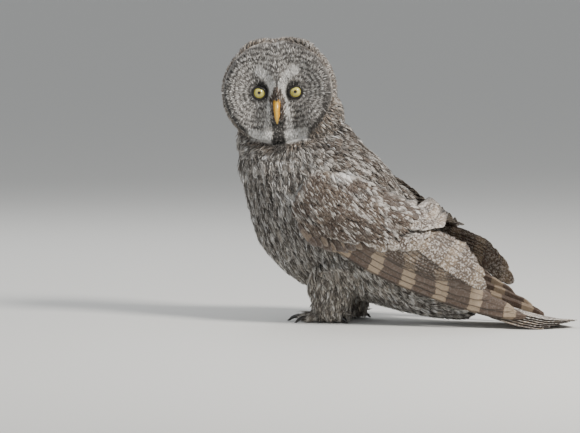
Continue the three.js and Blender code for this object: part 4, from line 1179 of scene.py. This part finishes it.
def makeEye(name, sign):  # a ball with a low bulge over the iris, coloured ring by ring from its front
    radius = headSizes["eyeRadius"]
    fall, turn = gridOf(np.radians(np.concatenate([np.linspace(1, 50, 44), np.linspace(55, 178, 24)])),
                        ringTurns(64))
    reach = radius * np.sin(fall)
    bulge = 1.2 * (1 - smooth(reach, 3, 8.8)) * (fall < 1.5)
    grid = headPoint(sign * halfEyes + reach * np.cos(turn), reach * np.sin(turn),
                     headSizes["eyeForward"] + radius * np.cos(fall) + bulge)
    piece = closedTube(f"{name}_ball", grid)
    across, up, forward = headLocal(pieceLocal(piece))
    across = across - sign * halfEyes
    out, swing = np.hypot(across, up), np.arctan2(up, across)
    rays = 0.5 + 0.5 * np.sin(swing * 23 + 2 * np.sin(swing * 7))
    colour = ink["iris"] * (0.82 + 0.18 * rays[:, None])
    ring = 0.55 * bell(out - eyeSizes["pupil"], 1.3) + 0.5 * smooth(out, 6.6, 8.4)
    colour = over(colour, "irisRing", ring)
    pupil = 1 - smooth(out, eyeSizes["pupil"] - 0.2, eyeSizes["pupil"] + 0.25)
    colour = over(colour, ink["black"] * 0.3, pupil)
    rim = smooth(out, eyeSizes["iris"], eyeSizes["ring"]) + (forward < headSizes["eyeForward"])
    setColour(piece, "plumage", over(colour, ink["black"] * 0.4, rim))
    finishPiece(piece, eyeSurface, (name,))


def makeLids(name, sign):  # a soft ring of dark skin round the eye, its upper side lower over the iris
    turn = ringTurns(72)[:, None]
    swing = ringTurns(14)[None]
    upper = bell(turn - math.pi / 2 - 0.35 * sign, 0.8)
    reach = eyeSizes["lidReach"] - eyeSizes["lidDrop"] * upper + 0.12 * np.sin(turn * 17)
    thick = eyeSizes["lidThickness"] * (1 + 0.2 * upper)
    out = reach + thick * np.cos(swing)
    forward = headSizes["socketLevel"] + 0.6 + 1.2 * upper + thick * np.sin(swing)
    grid = headPoint(sign * halfEyes + out * np.cos(turn), out * np.sin(turn), forward)
    rings = np.concatenate([grid, grid[:1]])
    piece = weld(surfaceMesh(f"lids_{name}", rings.reshape(-1, 3), tubeFaces(*rings.shape[:2])))
    setColour(piece, "plumage", np.broadcast_to(ink["black"], (len(piece.data.vertices), 3)))
    finishPiece(piece, lidSkin)


for eyeName, eyeSign in (("eye_left", 1), ("eye_right", -1)):
    makeEye(eyeName, eyeSign)
    makeLids(eyeName, eyeSign)

billSizes = {
    # up, forward, half width, half depth in the head's middle plane
    "upper": [(-8, 34, 6.5, 6.5), (-13, 46, 6.2, 7), (-19, 55, 5.6, 6.6), (-27, 60.5, 4.8, 5.4),
              (-36, 61.5, 3.6, 3.9), (-43, 59.5, 2.2, 2.4), (-48, 56.5, 0.7, 0.8)],
    "lower": [(-27, 36, 4.6, 4.2), (-31, 45, 4.4, 4), (-36.5, 51.5, 3.6, 3), (-41, 54.5, 2.2, 1.7),
              (-43, 56, 1, 0.8)],
    "nostril": (5.6, -20, 56.5, 1.5),  # across, up, forward, size
}


def fromNostril(across, up, forward):  # how far a place on the bill is from the nearer nostril
    side, high, ahead = billSizes["nostril"][:3]
    return np.sqrt((np.abs(across) - side) ** 2 + ((up - high) / 1.4) ** 2 + (forward - ahead) ** 2)


def makeBill(name, rows, node):  # rings square to the bill's curve, with a ridge along its top
    rows = throughRows(rows, np.linspace(0, 1, 60))
    up, forward, wide, deep = (rows[:, k:k + 1] for k in range(4))
    run = unit(np.gradient(rows[:, :2], axis=0))
    normalUp, normalForward = -run[:, 1:2], run[:, 0:1]
    turn = ringTurns(48)[None]
    ridge = 1 + 0.1 * bell((turn + math.pi) % (2 * math.pi) - math.pi, 0.3)
    out = deep * np.cos(turn) * ridge
    across = wide * np.sin(turn)
    upAt, forwardAt = up + normalUp * out, forward + normalForward * out
    dent = bell(fromNostril(across, upAt, forwardAt), billSizes["nostril"][3]) * (name == "billUpper")
    piece = closedTube(name, headPoint(across * (1 - 0.3 * dent), upAt, forwardAt))
    across, up, forward = headLocal(pieceLocal(piece))
    colour = over(ink["horn"], "hornRidge", bell(across, 2))
    colour = over(colour, "cere", 0.7 * smooth(-up, 12, 6))
    colour = over(colour, "hornTip", 0.6 * smooth(-up, 42, 49))
    colour = over(colour, "black", 0.9 * bell(fromNostril(across, up, forward), 1.5))
    setColour(piece, "plumage", colour)
    finishPiece(piece, billHorn, (node,))


makeBill("billUpper", billSizes["upper"], "beak_upper")
makeBill("billLower", billSizes["lower"], "beak_lower")


# In mm and degrees: slope at the root and how far it turns down, root and tip radius, how far it is sunk
clawSizes = {"stations": 34, "slope": 20, "bend": 85, "root": 4, "tip": 0.4, "taper": 0.75, "sunk": 4}


def makeClaw(sideName, side, toe):  # a horn tapering along a curve that drops to the floor
    size = clawSizes
    heading = toeWay(side, toe)
    share = np.linspace(0, 1, size["stations"])
    bend = np.radians(size["slope"] - size["bend"] * share)
    radii = size["root"] * (1 - share) ** size["taper"] + size["tip"]
    step = toe[5] / (size["stations"] - 1)
    run = np.concatenate([[0], np.cumsum(np.cos(bend[1:]) * step)])
    rise = np.concatenate([[0], np.cumsum(np.sin(bend[1:]) * step)]) + toe[4] * 1.05
    start = np.array([side * legSizes["ankle"][0], legSizes["ankle"][1], 0.0])
    start = start + heading * (toe[2] - size["sunk"])
    centres = start + heading * run[:, None]
    centres[:, 2] = np.maximum(rise, radii + size["tip"])
    piece = closedTube(f"talon_{sideName}_{toe[0]}", tubeGrid(centres, radii, 20))
    points = pieceLocal(piece)
    out = ((points - start) @ heading) / toe[5]
    setColour(piece, "plumage", over(ink["claw"], "clawRoot", 1 - smooth(out, 0.0, 0.45)))
    finishPiece(piece, clawHorn, (f"claw_{sideName}_{toe[0]}",))


for sideName, side in (("left", 1), ("right", -1)):
    for toe in legSizes["toes"]:
        makeClaw(sideName, side, toe)

bristleSizes = {"count": 1300, "up": (-32, 9), "length": (16, 27), "width": (0.9, 1.8)}


def makeBristles():
    # Fine stiff feathers round the bill: rooted on the face beside and over it, they run forward and down
    # over its base. Each is a straight run from its root plus a bow that follows the square of the way.
    size = bristleSizes
    draw = np.random.default_rng(71)
    count = size["count"]
    up = draw.uniform(*size["up"], count)
    side = draw.choice([-1.0, 1.0], count)
    near = 1.5 + 4.5 * smooth(-up, -2, 12)
    across = side * (near * (up < -2) + np.abs(draw.normal(size=count)) * 3.2)
    share = np.hypot(across, up) / headOutline(np.arctan2(up, across))
    roots = headPoint(across, up, faceForward(across, up, share) - 2.2)
    way = unit(headWay(-0.03 * across + 0.1 * draw.normal(size=count), -0.72 + 0.1 * draw.normal(size=count),
                       0.9 - 0.35 * smooth(-up, 4, 26) + 0.1 * draw.normal(size=count)))
    length = draw.uniform(*size["length"], (count, 1)) * (1 - 0.35 * smooth(-up, 12, 30))[:, None]
    share = np.linspace(0, 1, 6)
    middle = roots[:, None] + way[:, None] * (length * share)[..., None]
    middle = middle - headWay(0.0, 0.0, 1.0) * (3.5 * share ** 2)[None, :, None]
    sideways = unit(np.cross(way, headWay(0.0, 0.0, 1.0)))
    normals = np.cross(sideways, way)
    width = along(wisp, share)[None, :, None] * draw.uniform(*size["width"], (count, 1, 1)) / 2
    around, face = ringProfile(3)
    points = middle[:, :, None] + sideways[:, None, None] * (around * width)[..., None]
    points = points + normals[:, None, None] * (0.12 * face + 0 * width)[..., None]
    colour = np.broadcast_to(ink["brown"], (count, 6, 3)) * np.exp(0.35 * draw.normal(size=(count, 1, 1)))
    colour = over(colour, "pale", 0.7 * (draw.random((count, 1)) < 0.16))
    colour = over(colour, "black", 0.7 * (draw.random((count, 1)) < 0.4))
    manyVanes("billBristles", points, around, share[:, None], nearestUv(roots), np.clip(colour, 0.002, 0.9),
              np.zeros((count, 3)), faceFeather)


makeBristles()
print("stage: eyes, bill and claws")

# Metres; each lamp stands to the right, nearer and higher by so much, then its size, power and colour
studioSizes = {
    "azimuth": 110, "elevation": 4, "distance": 7.0, "width": 0.899, "aim": (26.5, -72.9, 161), "floor": 40,
    "lamps": {"key": (1.5, 1.1, 1.7, 0.6, 84, (1, 0.96, 0.9)),
              "fill": (-1.9, 1.5, 0.8, 1.8, 9, (0.93, 0.96, 1)),
              "back": (-0.6, -1.6, 1.8, 1.4, 22, (1, 1, 1))},
    "sky": (0.86, 0.88, 0.9, 1), "skyStrength": 0.48,
}


def addCamera():  # as far from the aim as the distance, its frame as wide there as the width
    turn, tip = math.radians(studioSizes["azimuth"]), math.radians(studioSizes["elevation"])
    away = np.array([math.sin(turn) * math.cos(tip), -math.cos(turn) * math.cos(tip), math.sin(tip)])
    aim = (np.array(studioSizes["aim"]) + shift) * 0.001
    data = bpy.data.cameras.new("camera")
    data.sensor_width = 36
    data.lens = 36 * studioSizes["distance"] / studioSizes["width"]
    camera = addObject("camera", data)
    right = unit(np.cross(-away, [0, 0, 1.0]))
    place = np.eye(4)
    place[:3, :3] = np.stack([right, np.cross(right, unit(-away)), -unit(-away)], -1)
    place[:3, 3] = aim + away * studioSizes["distance"]
    camera.matrix_world = Matrix(place.tolist())
    bpy.context.scene.camera = camera
    return aim, away, right


def addLamp(name, place, size, power, tint):  # a square lamp turned to the aim
    data = bpy.data.lights.new(name, "AREA")
    data.size = size
    data.energy = power
    data.color = tint
    lamp = addObject(name, data)
    lamp.location = place
    lamp.rotation_euler = Vector(unit(aim - place)).to_track_quat("-Z", "Y").to_euler()


aim, away, right = addCamera()
for lampName, (rightBy, nearBy, upBy, *lampValues) in studioSizes["lamps"].items():
    addLamp(lampName, aim + rightBy * right + nearBy * away + np.array([0, 0, upBy]), *lampValues)
world = bpy.data.worlds.new("studio")
world.use_nodes = True
sky = world.node_tree.nodes["Background"].inputs
sky["Color"].default_value = studioSizes["sky"]
sky["Strength"].default_value = studioSizes["skyStrength"]
bpy.context.scene.world = world

# Studio floor: matt emulsion paint, so the eye sees an even pale ground with soft shadows and no highlight
floorCorners = np.array([(-1, -1, 0), (1, -1, 0), (1, 1, 0), (-1, 1, 0)]) * studioSizes["floor"] * 1000
floor = surfaceMesh("floor", floorCorners - shift, np.array([[0, 1, 2, 3]]), False)
floorPaint, _, floorShader = newMaterial("studioFloorPaint", {"Roughness": 0.75})
floorShader.inputs["Base Color"].default_value = (*ink["floor"], 1)
floor.data.materials.append(floorPaint)
